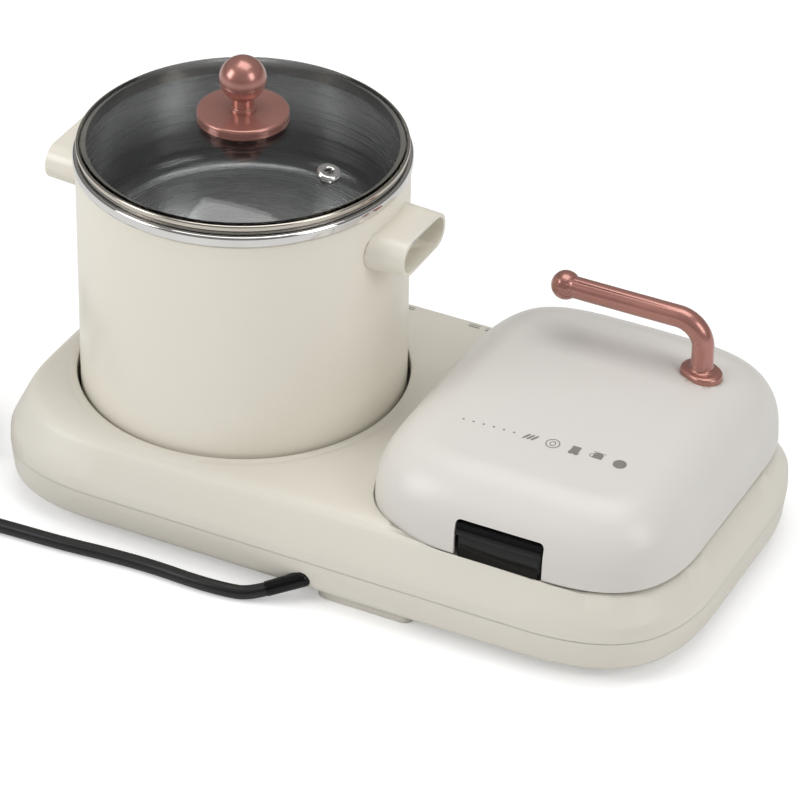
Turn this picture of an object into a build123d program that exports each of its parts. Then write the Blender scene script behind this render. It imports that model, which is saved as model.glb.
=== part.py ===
from build123d import *
import math
import os

# A breakfast station: a long base with a heated well and a lift-off pot at one end, and a
# hinged press for toast, sandwiches or waffles at the other.
# Frame: +Z up, +X towards the pot end, -Y the front with the knobs, +Y the rear with the cord.
# The origin is on the table under the middle of the base. Lengths are millimetres.

os.makedirs("parts", exist_ok=True)

# Base housing
base_length = 406.0
base_width = 224.0
base_corner = 77.0
corner_fullness = 0.70
ground_clearance = 7.0
parting_height = 27.0
parting_gap = 0.4
step_height = 34.0
deck_height = 55.0
wall = 2.4
lower_draft = 2.0
lower_edge_radius = 6.0
band_draft = 0.3
slope_run = 12.4
deck_shift = 1.0
deck_edge_radius = 10.0
tongue_height = 2.0
tongue_thickness = 1.0
fit_gap = 0.2
touch_gap = 0.3
running_gap = 0.05
vent_count = 7
vent_length = 26.0
vent_width = 3.0
vent_pitch = 8.0

# Pot well and hot plate
pot_x = 93.8
well_radius = 90.8
well_lip_width = 5.6
well_lip_rise = 0.8
well_collar_depth = 9.0
well_collar_wall = 2.2
liner_wall = 1.2
liner_flange = 5.0
well_floor_height = 30.0
well_floor_opening = 72.0
hot_plate_radius = 74.0
hot_plate_top = 36.0
hot_plate_step = 2.0
hot_plate_flange = 3.0
element_radius = 3.2
element_gap = 0.1
pot_element_ring = 50.0
pot_element_arc = 325.0
strap_width = 26.0
strap_height = 20.5
strap_thickness = 1.5
strap_inset = 3.0
liner_post_ring = 84.0
sensor_cap_radius = 11.0
sensor_cap_thickness = 2.0
sensor_skirt = 1.4
sensor_skirt_depth = 3.0
sensor_stem_radius = 3.0
sensor_guide_radius = 8.0
sensor_guide_height = 5.0
spring_radius = 6.0
spring_wire = 0.5
spring_turns = 3

# Pot
pot_radius = 88.8
pot_wall = 1.4
pot_bottom_corner = 10.0
pot_rim_height = 191.4
pot_bead_height = 6.5
pot_bead_radius = 90.0
pot_bead_round = 1.7
pot_liner_wall = 0.9
pot_base_radius = 68.0
pot_base_thickness = 5.0

# Shallow pan hung in the pot's rim
pan_gap = 0.9
pan_wall = 0.8
pan_depth = 60.0
pan_corner = 13.0
pan_rim_radius = 88.6

# Ear handles of the pot
ear_reach = 107.2
ear_height = 163.0
ear_length = 50.0
ear_thickness = 20.0
ear_wall = 2.2
ear_flare = 3.0
ear_web = 1.6
rivet_spacing = 24.0
rivet_radius = 1.6
rivet_head_radius = 3.4
rivet_head_height = 1.4

# Pot lid
ring_radius = 88.2
ring_height = 4.3
ring_rim_width = 2.1
ring_ledge = 2.4
ring_seat = 86.0
ring_undercut = 1.2
skirt_gap = 1.4
skirt_wall = 0.8
skirt_depth = 4.0
glass_thickness = 3.0
glass_rise = 12.8
vent_distance = 65.0
vent_angle = 161.0
eyelet_radius = 6.5
eyelet_neck = 3.6
eyelet_bore = 2.3
eyelet_flange = 1.0
knob_disc_radius = 24.5
knob_disc_height = 4.4
knob_neck_radius = 5.9
knob_neck_height = 5.7
knob_ball_radius = 12.5
knob_screw_radius = 2.0
knob_screw_depth = 9.0
knob_screw_head = 4.0

# Press cover
cover_x = -105.4
cover_y = -3.1
cover_length = 176.6
cover_width = 206.8
cover_corner = 61.7
cover_rim = 52.0
cover_top = 95.5
cover_draft = 2.0
cover_edge_radius = 33.0
crown_radius = 1200.0
cover_wall = 2.2
seat_floor = 50.0
seat_gap = 0.8

# Press hinge
hinge_x = -106.9
hinge_y = 94.5
hinge_z = 65.5
cutout_width = 50.0
cutout_top = 72.6
cutout_corner = 3.0
bracket_width = 48.0
bracket_front = 8.5
bracket_back = 4.3
barrel_radius = 5.0
hinge_pin_radius = 2.0
knuckle_gap = 2.0
knuckle_width = 7.0
knuckle_radius = 5.5

# Press plates
plate_x = -105.4
plate_y = -8.0
plate_length = 140.0
plate_width = 150.0
plate_corner = 14.0
plate_meeting_height = 66.0
plate_gap = 1.0
plate_cavity = 8.5
plate_wall = 2.5
plate_border = 5.0
plate_lip = 3.0
plate_lip_thickness = 2.0
rib_count = 8
rib_width = 2.4
rib_height = 1.5
plate_post_radius = 4.0
plate_post_inset = 14.0
thermostat_radius = 8.0
thermostat_height = 7.0
tray_floor_height = 38.0
tray_wall = 1.5
tray_upstand = 2.0
tray_flange = 4.0
tray_clearance = 1.0
panel_thickness = 2.0
panel_gap = 0.6
panel_inset = 6.7

# Handle of the press cover
post_x = -151.3
post_y = -54.0
handle_bar_height = 125.6
handle_radius = 6.0
handle_bend = 15.0
handle_ball_x = -71.2
handle_ball_radius = 8.0
handle_flange_length = 24.5
handle_flange_width = 18.0
handle_flange_turn = -27.0
handle_seat_height = 92.0
handle_flange_top = 95.4
handle_pad_depth = 4.0
handle_screw_spacing = 14.0
handle_screw_radius = 1.4
handle_screw_head = 2.7

# Controls
timer_x = -105.4
heat_x = 93.8
control_height = 20.0
knob_radius = 12.5
knob_skirt_depth = 4.0
knob_depth = 9.5
knob_grip_width = 7.0
knob_gap = 0.6
shaft_radius = 3.0
shaft_flat = 2.0
shaft_inset = 2.0
control_front = -103.5
timer_length = 38.0
timer_depth = 18.0
heat_length = 26.0
heat_depth = 14.0
heat_height = 16.8
button_x = 39.0
button_length = 16.0
button_width = 9.0
button_corner = 2.0
button_stand = 2.2
button_travel = 2.0
button_flange = 2.0
button_flange_thickness = 1.4
button_stem_radius = 2.0
button_stem_reach = 1.5
button_switch_front = -97.0
button_switch_size = 12.0
button_spring_radius = 3.4
button_spring_wire = 0.35
button_spring_turns = 4
lens_radius = 2.0
lens_spacing = 9.0
lens_x = -7.5
lens_height = 43.5
lens_stand = 0.5
board_length = 26.0
board_width = 9.0
board_depth = 6.5
board_thickness = 1.6
board_post_radius = 1.8

# Feet and fasteners
foot_radius = 9.0
foot_x = 168.0
foot_y = 58.0
block_x = -32.0
block_y = 97.0
block_length = 56.0
block_width = 14.0
block_corner = 6.0
screw_places = ((166.0, 80.0), (166.0, -80.0), (14.0, 90.0), (8.0, -88.0), (-160.0, 88.0), (-158.0, -92.0))
boss_radius = 4.2
screw_radius = 1.5
screw_head_radius = 3.2
screw_head_height = 2.0
screw_depth = 10.0
cover_screw_x = 52.0
cover_screw_y = 83.15
cover_screw_shift = -3.15

# Wiring
terminal_length = 18.0
terminal_width = 24.0
terminal_height = 12.0
terminal_y = 70.0
wire_radius = 1.6
wire_bend = 8.0

# Mains cord
cord_diameter = 7.6
cord_exit = (0.0, 110.0, 14.0)
cord_heading = (0.84, 0.42, -0.34)
relief_length = 20.0
relief_radius = 4.5
relief_tip_radius = 4.1
neck_length = 12.0
neck_flange_reach = 6.0
neck_flange_width = 2.0
clamp_width = 5.0
cord_points = ((16.82, 118.41, 7.19), (25.5, 122.7, 3.8), (38.0, 125.2, 3.8), (56.0, 126.1, 3.8),
               (80.0, 125.0, 3.8), (107.0, 126.3, 3.8), (136.0, 129.3, 3.8), (164.0, 130.2, 3.8),
               (190.0, 131.9, 3.8), (216.0, 131.2, 3.8), (238.0, 131.0, 3.8), (260.4, 130.2, 3.8))
coil_x = 268.0
coil_y = 82.0
coil_radius = 48.0
coil_pitch = 8.2
coil_inward_turns = 1.5
coil_outward_turns = 1.25
tail_flat = 16.0
tail_reach = 44.0
tail_drift = 0.4
tie_width = 10.0
tie_thickness = 1.2
tie_gap = 0.7
plug_length = 34.0
plug_width = 26.0
plug_thickness = 15.0
plug_waist = 8.0
plug_relief_length = 16.0
plug_relief_radius = 4.6
pin_spacing = 18.6
pin_radius = 2.2
pin_length = 19.0

# Heights and places worked out from the sizes above
floor_top = ground_clearance + wall
pot_bottom = hot_plate_top + touch_gap
liner_floor = pot_bottom + pot_base_thickness
liner_outer = pot_radius - pot_wall - fit_gap
liner_inner = liner_outer - pot_liner_wall
pan_outer = liner_inner - pan_gap
pan_inner = pan_outer - pan_wall
pan_flange_bottom = pot_rim_height + touch_gap
ring_bottom = pan_flange_bottom + pan_wall + touch_gap
glass_edge_radius = ring_radius - ring_rim_width - fit_gap
glass_sphere = (glass_edge_radius ** 2 + glass_rise ** 2) / (2 * glass_rise)
glass_top = ring_bottom + ring_ledge + fit_gap / 2 + glass_rise + glass_thickness
disc_top = glass_top + fit_gap + knob_disc_height
lower_plate_top = plate_meeting_height - plate_gap / 2
upper_plate_bottom = plate_meeting_height + plate_gap / 2
plate_depth = plate_cavity + plate_wall
well_length = plate_length + 2 * plate_lip - 2 * tray_upstand
well_width = plate_width + 2 * plate_lip - 2 * tray_upstand
panel_bottom = upper_plate_bottom + plate_lip_thickness + fit_gap / 2
panel_top = panel_bottom + panel_thickness
knuckle_reach = cutout_width / 2 + knuckle_gap
knob_back = -base_width / 2 - knob_gap
cord_radius = cord_diameter / 2
coil_inner = coil_radius - coil_pitch * coil_inward_turns


def soft_outline(length, width, corner, z=0.0, cx=0.0, cy=0.0):
    """Closed outline of four straight sides joined by full, soft corners."""
    half_l = length / 2
    half_w = width / 2
    reach = corner * corner_fullness
    quarters = (
        ((half_l - corner, -half_w), (half_l - corner + reach, -half_w),
         (half_l, -half_w + corner - reach), (half_l, -half_w + corner)),
        ((half_l, half_w - corner), (half_l, half_w - corner + reach),
         (half_l - corner + reach, half_w), (half_l - corner, half_w)),
        ((-half_l + corner, half_w), (-half_l + corner - reach, half_w),
         (-half_l, half_w - corner + reach), (-half_l, half_w - corner)),
        ((-half_l, -half_w + corner), (-half_l, -half_w + corner - reach),
         (-half_l + corner - reach, -half_w), (-half_l + corner, -half_w)),
    )
    edges = []
    for index, points in enumerate(quarters):
        following = quarters[(index + 1) % len(quarters)][0]
        placed = [(cx + x, cy + y, z) for x, y in points]
        edges.append(Bezier(*placed))
        edges.append(Line(placed[-1], (cx + following[0], cy + following[1], z)))
    return Wire(edges)


def soft_slab(length, width, corner, low, high, cx=0.0, cy=0.0):
    """Upright prism on a soft outline."""
    face = Face(soft_outline(length, width, corner, low, cx, cy))
    return extrude(face, high - low, dir=(0, 0, 1))


def straight_loft(first, second):
    return Part() + Solid.make_loft([first, second], ruled=True)


def box_between(x0, x1, y0, y1, z0, z1):
    return Pos((x0 + x1) / 2, (y0 + y1) / 2, (z0 + z1) / 2) * Box(x1 - x0, y1 - y0, z1 - z0)


def upright(x, y, radius, low, high):
    return Pos(x, y, (low + high) / 2) * Cylinder(radius, high - low)


def rod(start, direction, radius, length):
    """Cylinder from a point along a direction."""
    return extrude(Plane(origin=start, z_dir=direction) * Circle(radius), length)


def rounded_block(length, width, corner, low, high, cx, cy):
    """Upright block with rounded corners."""
    return Pos(cx, cy, low) * extrude(RectangleRounded(length, width, corner), high - low)


def to_rear(x, y, z, sketch, depth):
    """Prism of a sketch from a point towards the rear."""
    plane = Plane(origin=(x, y, z), x_dir=(1, 0, 0), z_dir=(0, 1, 0))
    return extrude(plane * sketch, depth)


def run(r0, z0, r1, z1):
    """Straight stretch of a turned outline, between two (radius, height) points."""
    return Line((r0, 0, z0), (r1, 0, z1))


def bend(r, z, radius, start, end):
    """Arc of a turned outline about a centre, between two angles in degrees."""
    angles = [math.radians(a) for a in (start, (start + end) / 2, end)]
    points = [(r + radius * math.cos(a), 0, z + radius * math.sin(a)) for a in angles]
    return ThreePointArc(*points)


def lathe(edges, x=0.0, y=0.0):
    """Solid of revolution of a closed outline about an upright axis."""
    return Pos(x, y, 0) * revolve(Face(Wire(edges)), Axis.Z)


def turned(points, x=0.0, y=0.0):
    """Solid of revolution of straight stretches, from (radius, height) points."""
    edges = [run(*a, *b) for a, b in zip(points, points[1:] + points[:1])]
    return lathe(edges, x, y)


def biarc(start, start_heading, end, end_heading):
    """Two arcs that join two points and keep both headings."""
    chord = end - start
    along = chord.dot(start_heading + end_heading)
    bent = 2 * (1 - start_heading.dot(end_heading))
    if bent < 1e-9:
        reach = chord.dot(chord) / (2 * along)
    else:
        reach = (math.sqrt(along ** 2 + bent * chord.dot(chord)) - along) / bent
    first = start + start_heading * reach
    last = end - end_heading * reach
    middle = (first + last) * 0.5
    return [TangentArc(start, middle, tangent=start_heading),
            TangentArc(middle, end, tangent=(last - first).normalized())]


def wound_path(stations, lead):
    """Arcs through (point, heading) stations, with a straight lead at each end."""
    first, first_heading = stations[0]
    last, last_heading = stations[-1]
    edges = [Line(first - first_heading * lead, first)]
    for (start, start_heading), (end, end_heading) in zip(stations, stations[1:]):
        edges += biarc(start, start_heading, end, end_heading)
    edges.append(Line(last, last + last_heading * lead))
    return edges


def wound_tube(stations, radius, lead):
    """Round tube along a wound path."""
    first, heading = stations[0]
    section = Plane(origin=first - heading * lead, z_dir=heading) * Circle(radius)
    return sweep(section, path=Wire(wound_path(stations, lead)))


def spring(radius, wire_size, length, turns):
    """Open coil spring standing on the origin along +Z."""
    steps = 4 * turns
    low = wire_size + fit_gap / 2
    rise = (length - 2 * low) / steps
    slope = rise / (radius * math.pi / 2)
    stations = []
    for step in range(steps + 1):
        angle = step * math.pi / 2
        point = Vector(radius * math.cos(angle), radius * math.sin(angle), low + rise * step)
        heading = Vector(-math.sin(angle), math.cos(angle), slope).normalized()
        stations.append((point, heading))
    return wound_tube(stations, wire_size, wire_size)


# Base

def upper_form(inset):
    """Outer form of the upper housing, or its hollow when inset by the wall."""
    length = base_length - 2 * inset
    width = base_width - 2 * inset
    corner = base_corner - inset
    foot = soft_outline(length, width, corner, parting_height)
    step = soft_outline(length - 2 * band_draft, width - 2 * band_draft, corner - band_draft, step_height)
    deck = soft_outline(length - 2 * (slope_run - deck_shift), width - 2 * slope_run,
                        corner - slope_run, deck_height - inset, deck_shift)
    form = straight_loft(foot, step) + straight_loft(step, deck)
    return fillet(form.faces().sort_by(Axis.Z)[-1].edges(), deck_edge_radius - inset)


def lower_form(inset):
    """Outer form of the lower housing, or its hollow when inset by the wall."""
    length = base_length - 2 * inset
    width = base_width - 2 * inset
    corner = base_corner - inset
    top = soft_outline(length, width, corner, parting_height - parting_gap)
    foot = soft_outline(length - 2 * lower_draft, width - 2 * lower_draft, corner - lower_draft,
                        ground_clearance + inset)
    form = straight_loft(foot, top)
    return fillet(form.faces().sort_by(Axis.Z)[0].edges(), lower_edge_radius - inset)


def base_ring(outer_inset, inner_inset, low, high):
    """Upright wall that follows the base outline between two insets."""
    outer = soft_slab(base_length - 2 * outer_inset, base_width - 2 * outer_inset,
                      base_corner - outer_inset, low, high)
    inner = soft_slab(base_length - 2 * inner_inset, base_width - 2 * inner_inset,
                      base_corner - inner_inset, low, high)
    return outer - inner


def cover_slab(growth, low, high):
    """Upright prism on the press cover's outline, grown all round."""
    return soft_slab(cover_length + 2 * growth, cover_width + 2 * growth, cover_corner + growth,
                     low, high, cover_x, cover_y)


def tray_block(growth, low, high):
    """Upright block on the press tray's outline, grown all round."""
    return rounded_block(well_length + 2 * growth, well_width + 2 * growth, plate_corner + growth,
                         low, high, plate_x, plate_y)


def slope_plane(x):
    """Plane on the front slope at the lamps' height, with its normal pointing out."""
    rise = deck_height - step_height
    fall = slope_run - band_draft
    y = -base_width / 2 + band_draft + fall * (lens_height - step_height) / rise
    return Plane(origin=(x, y, lens_height), x_dir=(1, 0, 0), z_dir=(0, -rise, fall))


def lens_places():
    return [lens_x - lens_spacing / 2, lens_x + lens_spacing / 2]


def make_upper_housing():
    outer = upper_form(0.0)
    body = outer - upper_form(wall)
    body += cover_slab(seat_gap + wall, seat_floor - wall, deck_height) & outer
    for x, y in screw_places:
        body += upright(x, y, boss_radius, parting_height, deck_height - wall / 2) & outer
    for side in (-1, 1):
        plane = slope_plane(lens_x + side * (board_length / 2 - board_post_radius))
        body += extrude(plane.offset(-board_depth) * Circle(board_post_radius), board_depth - wall / 2)
    body -= cover_slab(seat_gap, seat_floor, deck_height + wall)
    body -= tray_block(tray_clearance, seat_floor - 2 * wall, seat_floor + wall)
    body -= upright(pot_x, 0, well_radius, parting_height, deck_height + wall)
    lip = well_radius + well_lip_width
    crest = deck_height + well_lip_rise
    body += turned([(well_radius, deck_height - well_collar_depth),
                    (well_radius + well_collar_wall, deck_height - well_collar_depth),
                    (well_radius + well_collar_wall, deck_height - wall),
                    (lip, deck_height - wall), (lip, deck_height), (lip - well_lip_rise, crest),
                    (well_radius + well_lip_rise, crest), (well_radius, deck_height)], pot_x)
    body -= base_ring(wall - tongue_thickness - fit_gap, 2 * wall, parting_height,
                      parting_height + tongue_height + fit_gap)
    for x, y in screw_places:
        body -= upright(x, y, screw_radius + fit_gap / 10, parting_height, parting_height + screw_depth)
    for x in lens_places():
        body -= extrude(slope_plane(x) * Circle(lens_radius + fit_gap / 2), 2 * wall, both=True)
    return body


def post_ring(radius, count, turn):
    """Places on a circle about the pot's axis."""
    angles = [math.radians(turn + 360 * k / count) for k in range(count)]
    return [(pot_x + radius * math.cos(a), radius * math.sin(a)) for a in angles]


def tray_corners():
    """Places of the posts between the press plate, its tray and the housing's floor."""
    across = well_length / 2 - plate_post_inset
    along = well_width / 2 - plate_post_inset
    return [(plate_x + sx * across, plate_y + sy * along) for sx in (-1, 1) for sy in (-1, 1)]


def make_lower_housing():
    parting = parting_height - parting_gap
    body = lower_form(0.0) - lower_form(wall)
    body += base_ring(wall - tongue_thickness, wall, parting - tongue_height,
                      parting_height + tongue_height)
    posts = [(x, y, parting) for x, y in screw_places]
    posts += [(x, y, well_floor_height - liner_wall) for x, y in post_ring(liner_post_ring, 3, 45.0)]
    posts += [(x, y, tray_floor_height) for x, y in tray_corners()]
    for x, y, top in posts:
        body += upright(x, y, boss_radius, floor_top - wall / 2, top)
    for x, y in screw_places:
        body -= upright(x, y, screw_radius + fit_gap, ground_clearance, parting)
        body -= upright(x, y, screw_head_radius + fit_gap, ground_clearance, floor_top + screw_head_height)
    for centre in (pot_x, plate_x):
        for k in range(vent_count):
            x = centre + vent_pitch * (k - (vent_count - 1) / 2)
            body -= box_between(x - vent_width / 2, x + vent_width / 2, -vent_length / 2, vent_length / 2,
                                ground_clearance - 1, floor_top + 1)
    front = -base_width / 2 - 1
    for x in (timer_x, heat_x):
        body -= to_rear(x, front, control_height, Circle(shaft_radius + 0.5), 4 * wall)
    opening = RectangleRounded(button_length + 2 * touch_gap, button_width + 2 * touch_gap, button_corner)
    body -= to_rear(button_x, front, control_height, opening, 4 * wall)
    x, y, z = cord_exit
    body -= to_rear(x, y - 3 * wall, z, Circle(relief_radius + fit_gap), 5 * wall)
    return body - relief_cone(fit_gap)


def make_feet():
    feet = Part()
    for sx in (-1, 1):
        for sy in (-1, 1):
            feet += Pos(sx * foot_x, sy * foot_y, ground_clearance / 2) * Cone(
                foot_radius - 1.5, foot_radius, ground_clearance)
    return feet


def make_rear_block():
    block = rounded_block(block_length, block_width, block_corner, 0.0, ground_clearance, block_x, block_y)
    return chamfer(block.faces().sort_by(Axis.Z)[0].edges(), 0.8)


def make_housing_screws():
    screws = Part()
    head = floor_top - wall / 2
    for x, y in screw_places:
        screws += upright(x, y, screw_head_radius, head, floor_top + screw_head_height)
        screws += upright(x, y, screw_radius, head, parting_height + screw_depth - 1)
    return screws


def make_pot_well_liner():
    outer = well_radius + well_collar_wall
    flange = outer + liner_flange
    top = deck_height - well_collar_depth
    floor = well_floor_height - liner_wall
    inner = outer - liner_wall
    return turned([(well_floor_opening, floor), (outer - 1, floor), (outer, floor + 1),
                   (outer, top - liner_wall), (flange, top - liner_wall), (flange, top), (inner, top),
                   (inner, well_floor_height), (well_floor_opening, well_floor_height)], pot_x)


def make_hot_plate():
    bore = sensor_cap_radius + 0.5
    step = hot_plate_radius + hot_plate_flange
    return turned([(bore, well_floor_height), (step, well_floor_height),
                   (step, well_floor_height + hot_plate_step),
                   (hot_plate_radius, well_floor_height + hot_plate_step),
                   (hot_plate_radius, hot_plate_top - 0.8), (hot_plate_radius - 0.8, hot_plate_top),
                   (bore + 0.6, hot_plate_top), (bore, hot_plate_top - 0.6)], pot_x)


def make_hot_plate_element():
    height = well_floor_height - element_radius - element_gap
    section = Plane.XZ * (Pos(pot_element_ring, height) * Circle(element_radius))
    ring = revolve(section, Axis.Z, pot_element_arc)
    for angle, way in ((0.0, -1), (pot_element_arc, 1)):
        a = math.radians(angle)
        start = (pot_element_ring * math.cos(a), pot_element_ring * math.sin(a), height)
        ring += rod(start, (-way * math.sin(a), way * math.cos(a), 0), 1.2, 8.0)
    return Pos(pot_x, 0, 0) * Rot(0, 0, (360 - pot_element_arc) / 2) * ring


def make_hot_plate_bracket():
    half = well_floor_opening + strap_inset + strap_thickness
    side = strap_width / 2
    top = strap_height + strap_thickness
    under = well_floor_height - liner_wall
    strap = box_between(-half, half, -side, side, strap_height, top)
    strap += box_between(-half, strap_thickness - half, -side, side, strap_height, under)
    strap += box_between(half - strap_thickness, half, -side, side, strap_height, under)
    strap -= upright(0, 0, sensor_stem_radius + 1, strap_height - 1, top + 1)
    return Pos(pot_x, 0, 0) * strap


def sensor_levels():
    """Heights of the sensor's cap top, cap underside, and guide's top."""
    cap_top = pot_bottom - touch_gap
    guide_top = strap_height + strap_thickness + sensor_guide_height
    return cap_top, cap_top - sensor_cap_thickness, guide_top


def make_sensor_guide():
    low = strap_height + strap_thickness
    guide = upright(pot_x, 0, sensor_guide_radius, low, sensor_levels()[2])
    return guide - upright(pot_x, 0, sensor_stem_radius + running_gap, low, sensor_levels()[2])


def make_sensor_spring():
    _, underside, guide_top = sensor_levels()
    length = underside - guide_top
    return Pos(pot_x, 0, guide_top) * spring(spring_radius, spring_wire, length, spring_turns)


def make_sensor_cap():
    cap_top, underside, _ = sensor_levels()
    skirt = sensor_cap_radius - sensor_skirt
    stem_end = strap_height + strap_thickness / 2
    return turned([(0, stem_end), (sensor_stem_radius, stem_end), (sensor_stem_radius, underside),
                   (skirt, underside), (skirt, underside - sensor_skirt_depth),
                   (sensor_cap_radius, underside - sensor_skirt_depth),
                   (sensor_cap_radius, cap_top - 0.6), (sensor_cap_radius - 0.6, cap_top), (0, cap_top)], pot_x)


# Press, lower half

def plate_casting():
    """Grid plate that faces up, with its rim at height 0 and its back below."""
    body = rounded_block(plate_length, plate_width, plate_corner, -plate_depth, 0, 0, 0)
    body += rounded_block(plate_length + 2 * plate_lip, plate_width + 2 * plate_lip,
                          plate_corner + plate_lip, -plate_lip_thickness, 0, 0, 0)
    inner_length = plate_length - 2 * plate_border
    inner_width = plate_width - 2 * plate_border
    body -= rounded_block(inner_length, inner_width, plate_corner - plate_border, -plate_cavity, 1, 0, 0)
    for k in range(1, rib_count):
        x = inner_length * (k / rib_count - 0.5)
        body += box_between(x - rib_width / 2, x + rib_width / 2, -inner_width / 2, inner_width / 2,
                            -plate_cavity, -plate_cavity + rib_height)
    return body


def make_lower_press_plate():
    plate = Pos(plate_x, plate_y, lower_plate_top) * plate_casting()
    for x, y in tray_corners():
        plate += upright(x, y, plate_post_radius, tray_floor_height + tray_wall,
                         lower_plate_top - plate_depth)
    return plate


def make_upper_press_plate():
    return Pos(plate_x, plate_y, upper_plate_bottom) * Rot(180, 0, 0) * plate_casting()


def make_lower_press_tray():
    lip_bottom = lower_plate_top - plate_lip_thickness - fit_gap
    flange_top = seat_floor + tray_wall
    tray = tray_block(0.0, tray_floor_height, seat_floor)
    tray += tray_block(tray_upstand + tray_flange, seat_floor, flange_top)
    tray += tray_block(tray_upstand, flange_top, lip_bottom)
    tray -= tray_block(-tray_wall, tray_floor_height + tray_wall, flange_top)
    return tray - tray_block(0.0, flange_top, lip_bottom)


def plate_element(height):
    """Looped heater tube that lies flat against a plate's back."""
    leg = plate_length / 2 - 34.0
    near = -plate_width / 2 + 26.0
    far = plate_width / 2 - 30.0
    end = leg / 3
    path = FilletPolyline((-end, far, 0), (-leg, far, 0), (-leg, near, 0), (leg, near, 0),
                          (leg, far, 0), (end, far, 0), radius=14.0)
    tube = sweep(Plane(origin=(-end, far, 0), z_dir=(-1, 0, 0)) * Circle(element_radius), path=path)
    for side in (-1, 1):
        tube += rod((side * end, far, 0), (-side, 0, 0), 1.2, 6.0)
    return Pos(plate_x, plate_y, height) * tube


def make_press_thermostat():
    top = lower_plate_top - plate_depth - element_gap
    low = top - thermostat_height
    body = upright(plate_x, plate_y, thermostat_radius, low, top)
    for side in (-1, 1):
        x = plate_x + side * thermostat_radius / 2
        body += box_between(x - 1.5, x + 1.5, plate_y - 0.4, plate_y + 0.4, low - 5.0, low)
    return body


def make_thermal_fuse():
    x = plate_x + 2.5 * thermostat_radius
    height = tray_floor_height + tray_wall + 2.0 + running_gap
    body = rod((x, plate_y - 6.0, height), (0, 1, 0), 2.0, 12.0)
    return body + rod((x, plate_y - 16.0, height), (0, 1, 0), 0.6, 32.0)


def make_hinge_bracket():
    left = hinge_x - bracket_width / 2
    right = hinge_x + bracket_width / 2
    block = box_between(left, right, hinge_y - bracket_front, hinge_y + bracket_back, seat_floor, hinge_z)
    block = fillet(block.edges().filter_by(Axis.Z), 2.0)
    block += rod((left, hinge_y, hinge_z), (1, 0, 0), barrel_radius, bracket_width)
    return block - rod((left, hinge_y, hinge_z), (1, 0, 0), hinge_pin_radius + running_gap, bracket_width)


def make_hinge_pin():
    half = knuckle_reach + knuckle_width
    return rod((hinge_x - half, hinge_y, hinge_z), (1, 0, 0), hinge_pin_radius, 2 * half)


# Press, upper half

def cover_form(inset):
    """Domed form of the press cover, or its hollow when inset by the wall."""
    length = cover_length - 2 * inset
    width = cover_width - 2 * inset
    corner = cover_corner - inset
    over = 2 * cover_wall
    taper = cover_draft * (1 + over / (cover_top - cover_rim))
    foot = soft_outline(length, width, corner, cover_rim, cover_x, cover_y)
    head = soft_outline(length - 2 * taper, width - 2 * taper, corner - taper,
                        cover_top + over, cover_x, cover_y)
    crown = Pos(cover_x, cover_y, cover_top - crown_radius) * Sphere(crown_radius - inset)
    form = straight_loft(foot, head) & crown
    return fillet(form.faces().sort_by(Axis.Z)[-1].edges(), cover_edge_radius - inset)


def handle_obround(growth, low, high):
    """Flat oval under the handle, turned like its flange."""
    sketch = Rot(0, 0, handle_flange_turn) * SlotOverall(handle_flange_length + 2 * growth,
                                                          handle_flange_width + 2 * growth)
    return Pos(post_x, post_y, low) * extrude(sketch, high - low)


def handle_screw_places():
    a = math.radians(handle_flange_turn)
    half = handle_screw_spacing / 2
    return [(post_x + s * half * math.cos(a), post_y + s * half * math.sin(a)) for s in (-1, 1)]


def cover_screw_places():
    y = cover_y + cover_screw_shift
    return [(cover_x + sx * cover_screw_x, y + sy * cover_screw_y) for sx in (-1, 1) for sy in (-1, 1)]


def make_press_cover():
    outer = cover_form(0.0)
    body = outer - cover_form(cover_wall)
    body += handle_obround(2.0, handle_seat_height - handle_pad_depth, cover_top) & outer
    body -= handle_obround(fit_gap, handle_seat_height, cover_top + 1)
    for x, y in handle_screw_places():
        body -= upright(x, y, handle_screw_radius + fit_gap, handle_seat_height - 2 * handle_pad_depth,
                        handle_seat_height)
    for start in (hinge_x - knuckle_reach - knuckle_width, hinge_x + knuckle_reach):
        lug = rod((start, hinge_y, hinge_z), (1, 0, 0), knuckle_radius, knuckle_width)
        lug += box_between(start, start + knuckle_width, hinge_y - knuckle_radius,
                           hinge_y + 2 * knuckle_radius, hinge_z, cover_top)
        body += lug & outer
    for x, y in cover_screw_places():
        body += upright(x, y, boss_radius, panel_top, cover_top) & outer
        body -= upright(x, y, screw_radius + fit_gap / 10, panel_top, panel_top + screw_depth)
    notch = box_between(hinge_x - cutout_width / 2, hinge_x + cutout_width / 2, hinge_y - 2 * bracket_front,
                        hinge_y + 2 * bracket_front, cover_rim - 1, cutout_top)
    body -= fillet(notch.faces().sort_by(Axis.Z)[-1].edges().filter_by(Axis.Y), cutout_corner)
    half = knuckle_reach + knuckle_width + 1
    bore = hinge_pin_radius + running_gap
    return body - rod((hinge_x - half, hinge_y, hinge_z), (1, 0, 0), bore, 2 * half)


def make_press_liner():
    panel = cover_slab(-panel_inset, panel_bottom, panel_top)
    panel -= rounded_block(plate_length + 2 * panel_gap, plate_width + 2 * panel_gap, plate_corner,
                           panel_bottom - 1, panel_top + 1, plate_x, plate_y)
    half = knuckle_reach + knuckle_width + panel_gap
    panel -= box_between(hinge_x - half, hinge_x + half, hinge_y - 1.5 * bracket_front,
                         hinge_y + 2 * bracket_front, panel_bottom - 1, panel_top + 1)
    for x, y in cover_screw_places():
        panel -= upright(x, y, screw_radius + fit_gap, panel_bottom - 1, panel_top + 1)
    return panel


def make_cover_screws():
    screws = Part()
    for x, y in cover_screw_places():
        screws += upright(x, y, screw_head_radius, panel_bottom - screw_head_height, panel_bottom)
        screws += upright(x, y, screw_radius, panel_bottom, panel_top + screw_depth - 1)
    return screws


def ball_cut():
    """Distance from the end ball's centre to the face where the bar meets it."""
    return math.sqrt(handle_ball_radius ** 2 - handle_radius ** 2)


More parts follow.
